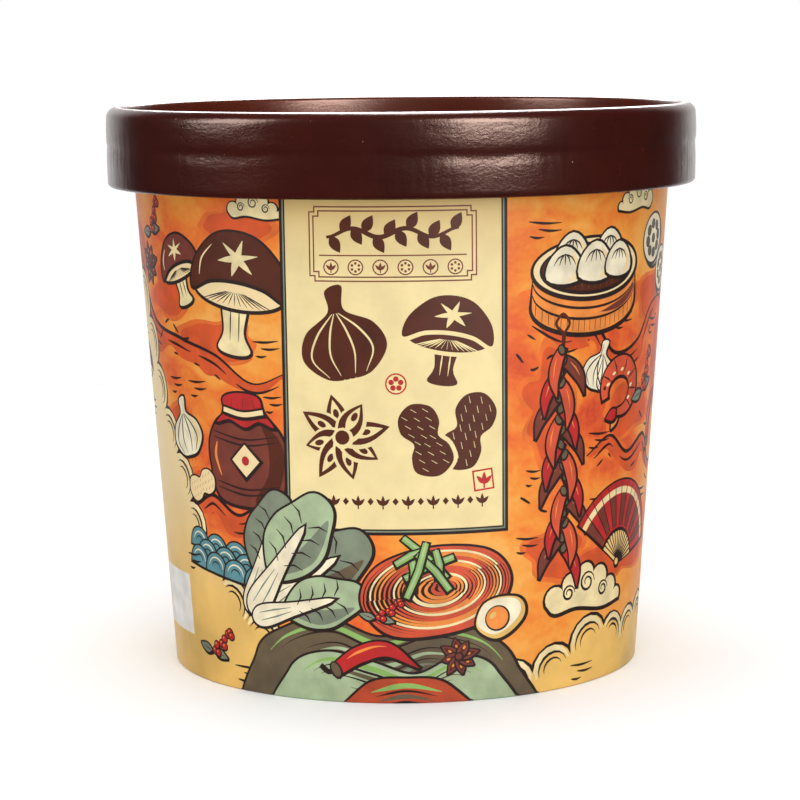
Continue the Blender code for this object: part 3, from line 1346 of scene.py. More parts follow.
@dataclass
class Label(Motif):
    """The cream label field: its border, a framed vine, four stamps, two seals and a row of shoots."""

    half_width: float = 26.75
    foot: float = 40.4
    top: float = 125.0
    frame_half: float = 19.4
    frame_foot: float = 99.5
    frame_top: float = 116.8
    divider: float = 105.4
    stamp_columns: tuple[float, float] = (-12.2, 12.6)
    stamp_rows: tuple[float, float] = (86.8, 63.4)
    row_height: float = 48.4
    round_seal: tuple[float, float] = (0.4, 76.0)
    square_seal: tuple[float, float] = (20.6, 53.0)

    def draw(self) -> None:
        """Draw the field and then all that is on it."""
        for ink, inset in ((Ink.LINE, 0), (Ink.SAGE, 0.72), (Ink.LINE, 1.08), (Ink.PAPER, 1.45)):
            self.fill(ink, box(self.half_width - inset, self.foot + inset, self.top))
        self.title()
        self.stamps()
        self.seals()
        for number in range(-7, 8):
            middle = (number * 2.9, self.row_height)
            if number % 2:
                self.shoot(Ink.BROWN, (middle[0], middle[1] - 1.8), 3.3)
            else:
                self.fill(Ink.BROWN, straight([(0, 0.9), (0.75, 0), (0, -0.9), (-0.75, 0)], True) + middle)

    def title(self) -> None:
        """Draw the double-line frame, its vine, the divider and six small rings."""
        for ink, inset in ((Ink.WOOD, 0), (Ink.PAPER, 0.32), (Ink.WOOD, 0.95), (Ink.PAPER, 1.27)):
            self.fill(ink, box(self.frame_half - inset, self.frame_foot + inset, self.frame_top - inset, 1.2))
        self.fill(Ink.WOOD, box(self.frame_half - 2.4, self.divider, self.divider + 0.3))
        middle = (self.divider + self.frame_top) / 2 - 0.35
        reach = self.frame_half - 4.2
        across = np.linspace(-reach, reach, 61)
        vine = np.column_stack([across, middle + 1.0 * np.sin(across / reach * 2.5 * math.pi)])
        self.stroke(vine, 1.1, Ink.BROWN, 0.6, 0.6)
        for number in range(12):
            side = 1 if number % 2 else -1
            self.fill(Ink.BROWN, petal(4.3, 2.6, vine[2 + number * 5], -90 + 60 * side, 0.25))
        for number in range(6):
            at = (-14.2 + number * 5.7, (self.frame_foot + self.divider) / 2 + 0.4)
            self.fill(Ink.WOOD, oval(3.7, 3.7, at))
            self.fill(Ink.PAPER, oval(3.1, 3.1, at))
            if number % 2:
                self.dots(Ink.WOOD, at, 6, 0.92, 0.62)
            else:
                self.shoot(Ink.WOOD, (at[0], at[1] - 1.3), 2.5)

    def stamps(self) -> None:
        """Draw the four dark stamps: a garlic bulb, a mushroom, a star anise and two peanuts."""
        left, right = self.stamp_columns
        upper, lower = self.stamp_rows
        dark, light = Ink.BROWN, Ink.PAPER
        self.stamp(Garlic, left, upper, 12, height=22.0, skin=dark, shade=dark)
        self.stamp(Mushroom, right, upper - 0.2, -8, cap=21.0, skin=dark, stem=dark, gills=dark, flesh=light)
        self.stamp(Anise, left, lower, 0, radius=11.4, body=dark, slit=light, seed=dark)
        for turn, across, up, length in ((66, 4.4, 1.2, 19), (112, -5.6, -0.6, 18)):
            self.stamp(Peanut, right + across, lower + up, turn, length=length, skin=dark, net=light)

    def stamp(self, kind: type, across: float, up: float, turn: float, **values: object) -> None:
        """Draw another motif at a place on the label, cut out of one dark ink."""
        angle = self.place.angle + math.degrees(across / float(self.place.cone.radius(up)))
        kind(self.sheet, Place(self.place.cone, angle, up, turn), 0.8, Ink.PAPER, **values).draw()

    def seals(self) -> None:
        """Draw two small red seals, a ringed flower and a square with a shoot."""
        self.fill(Ink.RED, oval(5.0, 5.0, self.round_seal))
        self.fill(Ink.PAPER, oval(4.3, 4.3, self.round_seal))
        self.dots(Ink.RED, self.round_seal, 5, 1.15, 1.3)
        square = moved(box(2.5, -2.5, 2.5), self.square_seal, 6)
        self.fill(Ink.RED, square)
        self.fill(Ink.PAPER, grown(square, -0.4))
        self.shoot(Ink.RED, (self.square_seal[0] + 0.2, self.square_seal[1] - 2.0), 4.0)

    def dots(self, ink: Ink, centre: Sequence[float], count: int, reach: float, width: float) -> None:
        """Draw a ring of dots.

        Args:
            ink: Their ink.
            centre: The ring's middle.
            count: How many there are.
            reach: The ring's radius.
            width: How wide each dot is.
        """
        for number in range(count):
            at = moved([(0, reach)], centre, FULL_TURN * number / count)[0]
            self.fill(ink, oval(width, width, at))

    def shoot(self, ink: Ink, foot: Sequence[float], size: float) -> None:
        """Draw a small shoot: a stalk with three leaves.

        Args:
            ink: Its ink.
            foot: Where the stalk starts.
            size: Its height.
        """
        self.fill(ink, petal(size * 0.5, size * 0.1, foot, 0, 1.0))
        for turn, reach in ((-44, 0.68), (0, 0.72), (44, 0.68)):
            self.fill(ink, petal(size * reach, size * 0.27, (foot[0], foot[1] + size * 0.26), turn, 0.2))


@dataclass
class Table(Motif):
    """A bare cream field on the back with ruled rows and no words."""

    half_width: float = 21.0
    foot: float = 34.0
    top: float = 104.0
    rows: int = 6
    rows_foot: float = 40.0
    rows_top: float = 68.0
    inset: float = 4.0

    def draw(self) -> None:
        """Draw the field, its border and its rules."""
        half, low, high = self.half_width - self.inset, self.rows_foot, self.rows_top
        for ink, line in ((Ink.LINE, 0), (Ink.CREAM, 0.7)):
            self.fill(ink, box(self.half_width - line, self.foot + line, self.top - line))
        for ink, line in ((Ink.WOOD, 0), (Ink.CREAM, 0.3)):
            self.fill(ink, box(half - line, low + line, high - line))
        for row in range(1, self.rows):
            level = low + (high - low) * row / self.rows
            self.fill(Ink.WOOD, box(half, level, level + 0.22))


@dataclass
class Artwork:
    """Everything printed on the sheet, from the ground's fields of colour to the label."""

    cone: Cone
    sheet: Sheet
    below: float = -9.0
    back_steps: int = 14
    back_step: float = 12.4
    back_wave: float = 34.0

    def add(self, kind: type, angle: float, height: float, turn: float = 0.0, size: float = 1.0,
            flip: bool = False, **values: object) -> None:
        """Draw one motif at an angle and height, turned, sized and mirrored, with values of its own."""
        kind(self.sheet, Place(self.cone, angle, height, turn, size, flip), **values).draw()

    def each(self, *things: tuple) -> None:
        """Draw several motifs one after another, each given as a row of what add takes."""
        for thing in things:
            self.add(*thing)

    def flat(self, points: Sequence) -> Points:
        """Turn rows of degrees and height into arc length and height."""
        return np.asarray(points, float) * (math.radians(1) * self.cone.reference, 1)

    def behind(self, start: float, height: float, number: int) -> tuple[float, float]:
        """Angle and height of one of the steps round the back, which wander about a height."""
        angle = (start + number * self.back_step + 180) % FULL_TURN - 180
        return angle, height + self.back_wave * math.sin(number * 2.4)

    def along(self, points: Sequence) -> list[tuple[float, float]]:
        """Turn rows of degrees and height into a motif's own points about the front of the foot."""
        return [(math.radians(angle) * float(self.cone.radius(height)), height) for angle, height in points]

    def field(self, corners: Sequence, ink: Ink = Ink.GOLD, bulge: float = 0.42) -> None:
        """Lay a field of colour that reaches from a scalloped edge down to the foot.

        Args:
            corners: The points between the scallops, as degrees and height, from left to right.
            ink: The field's ink.
            bulge: How far the scallops stand out, as a share of their length.
        """
        corners = self.flat(corners)
        edge = scallops(corners, bulge)
        outline = np.vstack([edge, [(edge[-1, 0], self.below), (edge[0, 0], self.below)]])
        self.sheet.paint(Ink.LINE, grown(outline, 0.85))
        self.sheet.paint(ink, outline)
        for share, width, layer in ((0.86, 2.2, Ink.CREAM), (0.72, 0.75, Ink.LINE), (0.46, 0.6, Ink.LINE)):
            for here, there in zip(corners, corners[1:]):
                middle = (here + there) / 2
                one = scallops([middle + (here - middle) * share, middle + (there - middle) * share], bulge)
                self.sheet.paint(layer, brush(one, width, 0.15, 0.15))

    def blots(self) -> None:
        """Draw the vermilion washes under the motifs, then those of the back."""
        blots = ((-42, 84, 26, 9), (-60, 95, 18, 12), (-40, 50, 30, 10), (-36, 112, 22, 7), (-62, 60, 16, 14),
                 (-80, 104, 20, 12), (45, 93, 34, 11), (33, 70, 14, 26), (60, 66, 26, 12), (58, 30, 30, 10),
                 (70, 92, 18, 10), (36, 34, 16, 14), (80, 76, 14, 26))
        for seed, (angle, height, width, depth) in enumerate(blots):
            self.add(Blot, angle, height, width=width, depth=depth, seed=seed)
        for number in range(self.back_steps):
            place = self.behind(96, 66, number)
            self.add(Blot, *place, width=24 + 8 * math.sin(number), seed=20 + number)

    def mists(self) -> None:
        """Draw the wandering double lines of the ground, then its dashed trails."""
        for route in (((-92, 112), (-80, 104), (-70, 88), (-56, 84), (-44, 81), (-34, 75), (-25, 78)),
                      ((-66, 50), (-56, 44), (-48, 47), (-40, 43), (-32, 47), (-24, 44)),
                      ((27, 91), (36, 86), (44, 88), (52, 80), (62, 82), (70, 90), (84, 92)),
                      ((44, 56), (52, 60), (60, 55), (70, 58), (78, 50), (90, 52)),
                      ((92, 96), (104, 108), (122, 111), (140, 108), (156, 112), (170, 106)),
                      ((-176, 100), (-160, 92), (-146, 96), (-130, 88), (-114, 92)),
                      ((-172, 52), (-156, 46), (-142, 50), (-126, 44), (-112, 48))):
            self.add(Mist, 0, 0, route=self.along(route))
        for route in (((-67, 83), (-61, 88), (-55, 84), (-49, 86)), ((24, 82), (28, 78), (33, 81), (38, 78)),
                      ((26, 48), (33, 44), (38, 47), (44, 42)), ((66, 64), (72, 60), (78, 66), (84, 62)),
                      ((96, 66), (106, 72), (114, 60)), ((-176, 62), (-166, 66), (-158, 60)),
                      ((-110, 46), (-100, 42), (-92, 50))):
            self.add(Trail, 0, 0, route=self.along(route))

    def left_side(self) -> None:
        """Draw what is to the left of the label."""
        self.add(Cloud, -31, 115, 0, 0.62)
        for angle, height, length in ((-30, 85, 7), (-60, 74, 6), (-29, 72, 5), (-51, 74, 7), (-84, 84, 7),
                                      (-80, 66, 6)):
            self.add(Dashes, angle, height, 4, length=length)
        self.each((Sprig, -65, 112, 30, 0.8), (Anise, -70, 101, 0, 0.7))
        self.add(Mushroom, -55, 101, 18, cap=17.0, skin=Ink.WOOD)
        self.add(Mushroom, -37, 97, -6, cap=29.0)
        self.add(Jar, -37, 58, width=23.0)
        self.each((Garlic, -57, 62, 14, 0.95), (Peanut, -52, 49, 24, 0.7), (Waves, -45, 33, -8, 0.8))

    def right_side(self) -> None:
        """Draw what is to the right of the label."""
        self.each((Cloud, 58, 115, 0, 0.7, True), (Cloud, 47, 21, 0, 1.15))
        for angle, height, length in ((30, 112, 9), (31, 99, 5), (55, 89, 8), (48, 61, 8), (29, 54, 4),
                                      (72, 86, 7), (49, 45, 7), (72, 44, 8), (28, 38, 6)):
            self.add(Dashes, angle, height, -3, length=length)
        self.each((Garlic, 47, 77, -14, 0.8), (Steamer, 43, 101, 0, 1.3), (Lotus, 68, 106, 10),
                  (Lotus, 77, 98, -20, 0.9), (Garland, 36.5, 60, 3), (Shrimp, 55, 71),
                  (Sprig, 69, 73, 40, 0.9), (Fan, 60, 37, -12, 0.95), (Chilli, 78, 62, 60, 0.8))

    def lower_front(self) -> None:
        """Draw the hills, the greens, the nest of strands and what lies before them."""
        self.add(Patch, -71, 18)
        self.add(Sprig, -49, 10, 12, 0.8)
        self.add(Dashes, -40, 6, 4, length=9)
        self.add(Dashes, -58, 31, 4, length=6)
        self.add(Dashes, 46, 5, length=8)
        self.hill(Ink.OLIVE, -38, [(-37, 10), (-29, 17), (-18, 20), (-6, 16), (6, 19), (18, 16), (26, 8)], 29)
        self.hill(Ink.CELADON, -31, [(-28, 7), (-19, 12), (-8, 10), (2, 7), (12, 11), (21, 7)], 25)
        self.hill(Ink.RUST, -17, [(-10, 4), (0, 6), (10, 4)], 18)
        self.each((Cabbage, -39, 18, 12), (Nest, 7, 27, 8), (Sticks, 4, 33, -10), (Egg, 22, 20, 20))
        self.add(Chilli, -7, 9, 8, 0.9, length=22.0)
        self.each((Anise, 12, 11, 0, 0.62), (Sprig, -4, 22, 10, 0.6))

    def hill(self, ink: Ink, start: float, crest: list, end: float) -> None:
        """Draw a hill with bands of colour that follow its crest.

        Args:
            ink: The hill's ink.
            start: The angle of its left foot, in degrees.
            crest: The points of its top, as degrees and height.
            end: The angle of its right foot.
        """
        outline = smooth(self.flat([(start, self.below)] + crest + [(end, self.below)]))
        self.sheet.paint(Ink.LINE, grown(outline, 0.8, 0.3))
        self.sheet.paint(ink, outline)
        top = smooth(self.flat(crest), False)
        layers = ((Ink.LEAF, 1.3), (Ink.LINE, 0.6), (Ink.OLIVE, 1.1), (Ink.LINE, 0.5), (Ink.CELADON, 1.2),
                  (Ink.LINE, 0.5), (Ink.SAGE, 1.4), (Ink.LINE, 0.5))
        for step, (layer, width) in enumerate(layers):
            trim = round(len(top) * (0.06 + 0.04 * step))
            line = top[trim:-trim] * (0.97 - 0.03 * step, 1) - (0, 1.7 + 1.3 * step)
            self.sheet.paint(layer, brush(line, width, 0.1, 0.1))

    def back(self) -> None:
        """Draw the back: the ruled field and the same kinds of things in another order."""
        for number in range(self.back_steps):
            self.add(Dashes, *self.behind(101, 78, number), 3)
        self.add(Table, 126, 0)
        self.add(Jar, 94, 80, 0, 1.1, clay=Ink.BROWN)
        self.each((Steamer, 97, 44, 0, 0.9), (Garland, -100, 62, -2), (Mushroom, -84, 74, 8, 0.8),
                  (Fan, -147, 70, 10, 1.1), (Garlic, -169, 84, -12, 1.1), (Lotus, -142, 106, 0, 1.1),
                  (Shrimp, -122, 106, 30, 1.1), (Mushroom, 160, 96, 10), (Peanut, 152, 74, 40, 1.1),
                  (Anise, 166, 62, 0, 1.1), (Nest, 160, 38, 0, 0.75), (Cabbage, -168, 22, 10, 0.9),
                  (Waves, -134, 24), (Chilli, -140, 48, 10, 1.1))

    def build(self) -> None:
        """Draw everything, from the ground up to the label."""
        self.blots()
        self.mists()
        self.field([(-214, 26), (-200, 18), (-186, 24), (-170, 12), (-156, 18), (-142, 10), (-130, 24),
                    (-122, 44), (-114, 64), (-104, 82), (-92, 96), (-82, 98), (-76, 87), (-72, 76), (-69, 65),
                    (-63, 55), (-58, 44), (-55, 33), (-47, 26), (-40, 17), (-30, 11), (-20, 7), (-10, 5),
                    (2, 1), (8, -4)])
        self.field([(10, -6), (20, 4), (31, 3), (42, 8), (54, 13), (63, 8), (72, 13), (84, 9), (98, 18),
                    (112, 12), (126, 22), (140, 14), (154, 22), (168, 16), (182, 24)])
        self.back()
        self.left_side()
        self.right_side()
        self.add(Label, -2.0, 0)
        self.lower_front()


@dataclass
class CupWall:
    """The shut cup's printed wall, with its rolled rim, foot fold and overlapped side seam."""

    cone: Cone
    sheet: Sheet
    roll_radius: float = 1.75
    roll_outer: float = 71.5
    rim_top: float = 128.9
    ring_thickness: float = 2.2
    fold: float = 0.35
    fold_rings: int = 4
    underside: float = 7.9
    flap_angle: float = 7.0
    flap_rise: float = 0.3
    print_row: float = 0.065
    print_rows: float = 0.425
    foot_rows: tuple[float, float] = (0.060, 0.034)
    rim_rows: tuple[float, float] = (0.030, 0.004)
    seam_rows: tuple[float, float] = (0.001, 0.003)

    def flap(self, angle: Points) -> Points:
        """How far the sheet's overlapping end stands proud at an angle in degrees."""
        share = ((angle - (180 - self.flap_angle)) / (self.flap_angle / 3)).clip(0, 1)
        return self.flap_rise * share * share * (3 - 2 * share)

    def wrapped(self, flat: Points) -> tuple[Points, Points]:
        """Wrap points of the flat sheet round the cone's facets.

        Args:
            flat: Rows of arc length and height.

        Returns:
            The points in mm, and the smooth wall's normals there.
        """
        step = self.cone.step
        turns = np.degrees(flat[:, 0] / self.cone.reference) / step
        before = np.floor(turns + 1e-6)
        share = (turns - before).clip(0, 1)[:, None]
        ends = []
        for line in (before, before + 1):
            angle = line * step
            radius = self.cone.radius(flat[:, 1]) + self.flap(angle)
            ends.append(np.column_stack([radius * np.sin(np.radians(angle)),
                                         -radius * np.cos(np.radians(angle)), flat[:, 1]]))
        angle = np.radians(turns * step)
        lean = math.atan(self.cone.slope)
        normals = np.column_stack([np.sin(angle) * math.cos(lean), -np.cos(angle) * math.cos(lean),
                                   np.full(len(flat), -math.sin(lean))])
        return ends[0] * (1 - share) + ends[1] * share, normals

    def foot_outline(self) -> list[tuple[float, float]]:
        """Draw the outline that carries on from the wall's foot: fold, ring and underside.

        Returns:
            Radius and height of its points.
        """
        outer = self.cone.foot_radius
        inner = outer - self.ring_thickness
        fold = self.fold
        under = arc((outer - fold, fold), (fold, fold), -25, -90, 3)
        within = arc((inner + fold, fold), (fold, fold), -90, -180, 3)
        return under + within + [(inner, self.underside)]

    def rim_outline(self) -> list[tuple[float, float]]:
        """Draw the outline that carries on from the wall's top: neck, roll and the shut top.

        Returns:
            Radius and height of its points.
        """
        centre = (self.roll_outer - self.roll_radius, self.rim_top - self.roll_radius)
        roll = arc(centre, (self.roll_radius, self.roll_radius), -115, 124, 14)
        return roll + [(centre[0] - self.roll_radius, self.rim_top - 0.3)]

    def build(self) -> bpy.types.Object:
        """Make the closed wall, with each print shape's faces in their own ink.

        Returns:
            The wall.
        """
        flat, faces, inks = self.sheet.partition()
        low, high, half = self.sheet.bottom, self.sheet.top, self.sheet.half
        points, normals = self.wrapped(flat)
        shares = flat[:, 0] / half
        rows = self.print_row + self.print_rows * (flat[:, 1] - low) / (high - low)
        spots = [[(shares[i], rows[i]) for i in face] for face in faces]
        mesh = WallMesh(points, faces.tolist(), list(inks), spots)
        hems = {frozenset(pair): ink for face, ink in zip(faces.tolist(), inks)
                for pair in ((face[0], face[1]), (face[1], face[2]), (face[2], face[0]))
                if flat[pair[0], 1] + flat[pair[1], 1] < 2 * (low + CLOSE)}
        for level, outline, wanted, strip in ((low, self.foot_outline(), Ink.BOARD, self.foot_rows),
                                              (high, self.rim_outline(), Ink.WHITE, self.rim_rows)):
            edge = np.flatnonzero(np.abs(flat[:, 1] - level) < CLOSE)
            edge = edge[np.argsort(flat[edge, 0])]
            down = level == low
            steps = np.linspace(*strip, len(outline) + 2)
            last = edge
            for number, (radius, height) in enumerate(outline):
                ring = points[edge].copy()
                ring[:, :2] *= radius / self.cone.radius(level)
                ring[:, 2] = height
                new = mesh.ring(ring)
                folded = down and number < self.fold_rings
                given = [hems.get(frozenset((int(a), int(b))), wanted) if folded else wanted
                         for a, b in zip(edge, np.roll(edge, -1))]
                mesh.bridge(last, new, given, shares[edge], steps[number: number + 2], down)
                last = new
            mesh.close(last, outline[-1][1], wanted, shares[edge], steps[-2:], down)
        seam = [(1, low), (-1, low), (-1, high), (1, high)]
        ends = [int(np.flatnonzero((np.abs(flat - (side * half, level)) < CLOSE).all(1))[0])
                for side, level in seam]
        mesh.face(ends, Ink.BOARD, [(side, self.seam_rows[level == high]) for side, level in seam])
        return mesh.piece(normals)


@dataclass
class WallMesh:
    """The wall's mesh while it is made: points in mm, faces, their inks and their spots on the baked picture.

    A spot is a share of the half turn, -1 to 1 from the back round the front to the back, and a height
    in the row that its half of the wall has on the picture.
    """

    sheet_points: Points
    faces: list[list[int]]
    inks: list[Ink]
    spots: list[list[tuple[float, float]]]
    margin: float = 0.002
    length: float = 0.992
    seam_middle: float = 0.9975
    seam_half: float = 0.001

    def __post_init__(self) -> None:
        """Start with the sheet's own points."""
        self.parts = [self.sheet_points]
        self.count = len(self.sheet_points)

    def face(self, corners: list[int], ink: Ink, spots: list[tuple[float, float]],
             down: bool = False) -> None:
        """Add one face.

        Args:
            corners: The numbers of its points.
            ink: Its ink.
            spots: Where its corners lie on the baked picture.
            down: Whether it turns the other way, as the faces below the sheet do.
        """
        self.faces.append(corners[::-1] if down else corners)
        self.inks.append(ink)
        self.spots.append(spots[::-1] if down else spots)

    def ring(self, points: Points) -> np.ndarray:
        """Add a ring of points.

        Args:
            points: The points.

        Returns:
            Their numbers.
        """
        self.parts.append(points)
        self.count += len(points)
        return np.arange(self.count - len(points), self.count)

    def bridge(self, last: np.ndarray, new: np.ndarray, inks: list[Ink], shares: Points, rows: Points,
               down: bool) -> None:
        """Join two rings of points by quads, and close them where the sheet's ends meet.

        Args:
            last: The ring nearer the sheet.
            new: The ring further away.
            inks: Each quad's ink.
            shares: Each point's share of the half turn.
            rows: The two rings' heights on the baked picture.
            down: True below the sheet.
        """
        for i in range(len(last)):
            j = (i + 1) % len(last)
            quad = [int(last[i]), int(last[j]), int(new[j]), int(new[i])]
            spots = [(shares[i], rows[0]), (shares[j], rows[0]), (shares[j], rows[1]), (shares[i], rows[1])]
            self.face(quad, inks[i], spots, down)

    def close(self, last: np.ndarray, height: float, ink: Ink, shares: Points, rows: Points,
              down: bool) -> None:
        """Close a ring with triangles that meet on the axis.

        Args:
            last: The ring.
            height: Its height.
            ink: The triangles' ink.
            shares: Each point's share of the half turn.
            rows: The heights of the ring and the middle on the baked picture.
            down: True below the sheet.
        """
        pole = int(self.ring(np.array([[0, 0, height]]))[0])
        for i in range(len(last)):
            j = (i + 1) % len(last)
            corners = [int(last[i]), int(last[j]), pole]
            spots = [(shares[i], rows[0]), (shares[j], rows[0]), ((shares[i] + shares[j]) / 2, rows[1])]
            self.face(corners, ink, spots, down)

    def picture(self) -> Points:
        """Where each face corner lies on the baked picture: the left half of the wall below the right half.

        Returns:
            Rows of across and up, from 0 to 1.
        """
        made = []
        for spots in self.spots:
            shares = [share for share, _ in spots]
            upper = sum(shares) > 0
            if max(shares) - min(shares) > 1:
                made.extend((self.seam_middle + self.seam_half * share, row) for share, row in spots)
            else:
                made.extend((self.margin + self.length * (share + (not upper)), row + 0.5 * upper)
                            for share, row in spots)
        return np.array(made)

    def piece(self, normals: Points) -> bpy.types.Object:
        """Make the piece, give each face its ink and the printed faces their smooth normals.

        Args:
            normals: The smooth normals of the sheet's points, which come first.

        Returns:
            The piece.
        """
        mesh = bpy.data.meshes.new("cup_wall")
        corners = np.vstack(self.parts)
        mesh.from_pydata((corners * MM).tolist(), [], self.faces)
        used = [ink for ink in Ink if ink in set(self.inks)]
        for ink in used:
            mesh.materials.append(FINISHES.get(ink, PrintedPaper(ink)).material())
        order = {ink: number for number, ink in enumerate(used)}
        mesh.polygons.foreach_set("material_index", [order[ink] for ink in self.inks])
        mesh.uv_layers.new(name="OFBake").uv.foreach_set("vector", self.picture().ravel())
        mesh.shade_smooth()
        given = np.zeros((len(corners), 3))
        given[: len(normals)] = normals
        mesh.normals_split_custom_set_from_vertices(given.tolist())
        piece = bpy.data.objects.new("cup_wall", mesh)
        bpy.context.scene.collection.objects.link(piece)
        return piece


@dataclass(frozen=True)
class Ripple:
    """A slight unevenness of the paper: how fast it changes round and up, and how deep it goes in mm."""

    around: float
    up: float
    depth: float

    def at(self, x: float, y: float, z: float) -> float:
        """Its depth at a point in mm."""
        return noise.noise(Vector((x * self.around, y * self.around, z * self.up))) * self.depth


@dataclass
class Lid:
    """The pushed-on paper lid: a band with folded rim, crease and rolled hem, and a sunk disc."""

    top: float
    radius: float
    height: float
    crest: float = 70.1
    shoulder: float = 2.6
    rim_inner: float = 69.0
    rim_drop: float = 1.1
    rim_gap: float = 0.3
    wall_drops: tuple[float, float] = (5.6, 3.4)
    recess: float = 8.0
    thickness: float = 0.8
    hem: float = 1.1
    hem_radius: float = 72.7
    skirt_steps: int = 24
    crease_drop: float = 9.4
    crease_depth: float = 0.18
    crease_rise: float = 0.75
    crease_fall: float = 1.9
    wander_level: float = 7.0
    lean: float = 0.22
    lean_reach: float = 4.8
    play: float = 0.03
    seam_angle: float = 177.0
    seam_depth: float = 0.14
    seam_width: float = 14.0
    seam_rise: float = 0.4
    pleats_start: float = 4.0
    pleats_reach: float = 12.0
    pleats_least: float = 0.3
    waves: Ripple = Ripple(around=0.07, up=0.2, depth=0.08)
    streaks: Ripple = Ripple(around=0.14, up=0.9, depth=0.020)
    pleats: Ripple = Ripple(around=0.85, up=0.10, depth=0.030)
    wander: Ripple = Ripple(around=0.12, up=1.0, depth=0.5)
    facets: int = 1080
    disc_facets: int = 240
    disc_tuck: float = 2.4
    disc_dish: tuple[tuple[float, float], ...] = ((0, 0.12), (20, 0.1), (40, 0.05))

    def band_outline(self) -> list[tuple[float, float]]:
        """Draw the band's closed outline, from the crest down the outside and back up the inside.

        Returns:
            Radius and height of its points.
        """
        top, steps = self.top, self.skirt_steps
        shoulder_foot, skirt_foot = top - self.shoulder, top - self.height + self.hem
        shoulder = arc((self.crest, shoulder_foot), (self.radius - self.crest, self.shoulder), 90, 0, 10)
        skirt = [(self.radius + (self.hem_radius - self.radius) * i / steps,
                  shoulder_foot + (skirt_foot - shoulder_foot) * i / steps) for i in range(1, steps)]
        hem = arc((self.hem_radius - self.hem, skirt_foot), (self.hem, self.hem), 0, -200, 9)
        inner = self.radius - self.thickness
        rim_foot = top - self.recess + self.rim_gap
        within = [(inner, skirt_foot + 1), (inner, rim_foot)]
        within += [(self.rim_inner, rim_foot)] + [(self.rim_inner, top - drop) for drop in self.wall_drops]
        rim = arc((self.crest, top - self.rim_drop), (self.crest - self.rim_inner, self.rim_drop), 180, 90, 5)
        return shoulder + skirt + hem + within + rim[:-1] + [shoulder[0]]

    def relief(self, band: bpy.types.Object) -> None:
        """Press the crease, the pleats, the paper's slight waves and its lapped end into the band.

        Args:
            band: The band, whose outer points move inwards a little.
        """
        places = np.empty((len(band.data.vertices), 3))
        band.data.vertices.foreach_get("co", places.ravel())
        for row in places:
            x, y, z = row / MM
            radius = math.hypot(x, y)
            if radius < self.crest:
                continue
            drop = self.top - z
            outer = min(1.0, (radius - self.crest) / 2)
            lower = min(1.0, max(0.0, (drop - self.pleats_start) / self.pleats_reach))
            pleats = self.pleats.at(x, y, z) * (self.pleats_least + lower)
            line = self.crease_drop + self.wander.at(x, y, self.wander_level)
            width = self.crease_rise if drop < line else self.crease_fall
            groove = math.exp(-(((drop - line) / width) ** 2)) * self.crease_depth
            lean = self.lean * max(0.0, 1 - max(0.0, drop - self.shoulder) / self.lean_reach) ** 2
            behind = math.degrees(math.atan2(x, -y)) - self.seam_angle
            before = max(0.0, 1 + behind / self.seam_width) ** 2 * self.seam_rise
            seam = self.seam_depth * (1.0 if behind >= 0 else before)
            even = self.play + self.waves.at(x, y, z) + self.streaks.at(x, y, z)
            inwards = (even + pleats + groove + lean + seam) * outer
            row[:2] *= 1 - max(0.0, inwards) / radius
        band.data.vertices.foreach_set("co", places.ravel())
        band.data.update()

    def band(self) -> bpy.types.Object:
        """Spin the band and press its relief.

        Returns:
            The band.
        """
        piece = turned("lid_band_paper", self.band_outline(), self.facets)
        self.relief(piece)
        return piece

    def paper(self, band: bpy.types.Object, outside: bpy.types.Material, inner: bpy.types.Material) -> None:
        """Cover the band with one paper and its inner wall with a lighter copy of it, painted light for the
        light that falls inside the rim.

        Args:
            band: The band.
            outside: The paper of the crest, the skirt and the hem.
            inner: The paper of the wall round the recess, a lighter copy of the lid paper that paints in the
                light falling inside the rim.
        """
        band.data.materials.append(outside)
        band.data.materials.append(inner)
        # Faces round the recess take the lighter copy of the paper, which is painted light, not a different
        # paper.
        for polygon in band.data.polygons:
            polygon.material_index = int(polygon.center.xy.length < (self.rim_inner + self.rim_gap) * MM)

    def disc(self) -> bpy.types.Object:
        """Spin the sunk disc, with a shallow pressed ring near its edge.

        Returns:
            The disc.
        """
        level = self.top - self.recess
        edge = self.rim_inner + self.disc_tuck
        outline = [(radius, level - drop) for radius, drop in self.disc_dish]
        outline += pressed(level, middle=62, width=1.6, rise=-0.25)
        outline += [(edge, level), (edge, level - self.thickness), (0, level - self.thickness)]
        return turned("lid_disc_paper", outline, self.disc_facets)


@dataclass(frozen=True)
class Softbox:
    """A rectangular soft light.

    Its azimuth is its direction from the cup, in degrees from the front towards +X. Its distance from
    the axis, its lower and upper edge and its width are in metres. At a radiance of 1 its face shows
    as white. With gloss it is only mirrored, and without it only lights plain surfaces.
    """

    name: str
    azimuth: float
    distance: float
    low: float
    high: float
    width: float
    radiance: float
    gloss: bool = True

    def hang(self) -> None:
        """Hang the light so that it faces the axis."""
        height = self.high - self.low
        turn = math.radians(self.azimuth)
        lamp = lit(self.name, self.radiance, self.width, height)
        lamp.data.shape = "RECTANGLE"
        lamp.data.size_y = height
        aside, ahead = math.sin(turn) * self.distance, math.cos(turn) * self.distance
        lamp.location = (aside, -ahead, (self.low + self.high) / 2)
        lamp.rotation_euler = Vector((-aside, ahead, 0)).to_track_quat("-Z", "Y").to_euler()
        lamp.visible_glossy = self.gloss
        lamp.visible_diffuse = not self.gloss


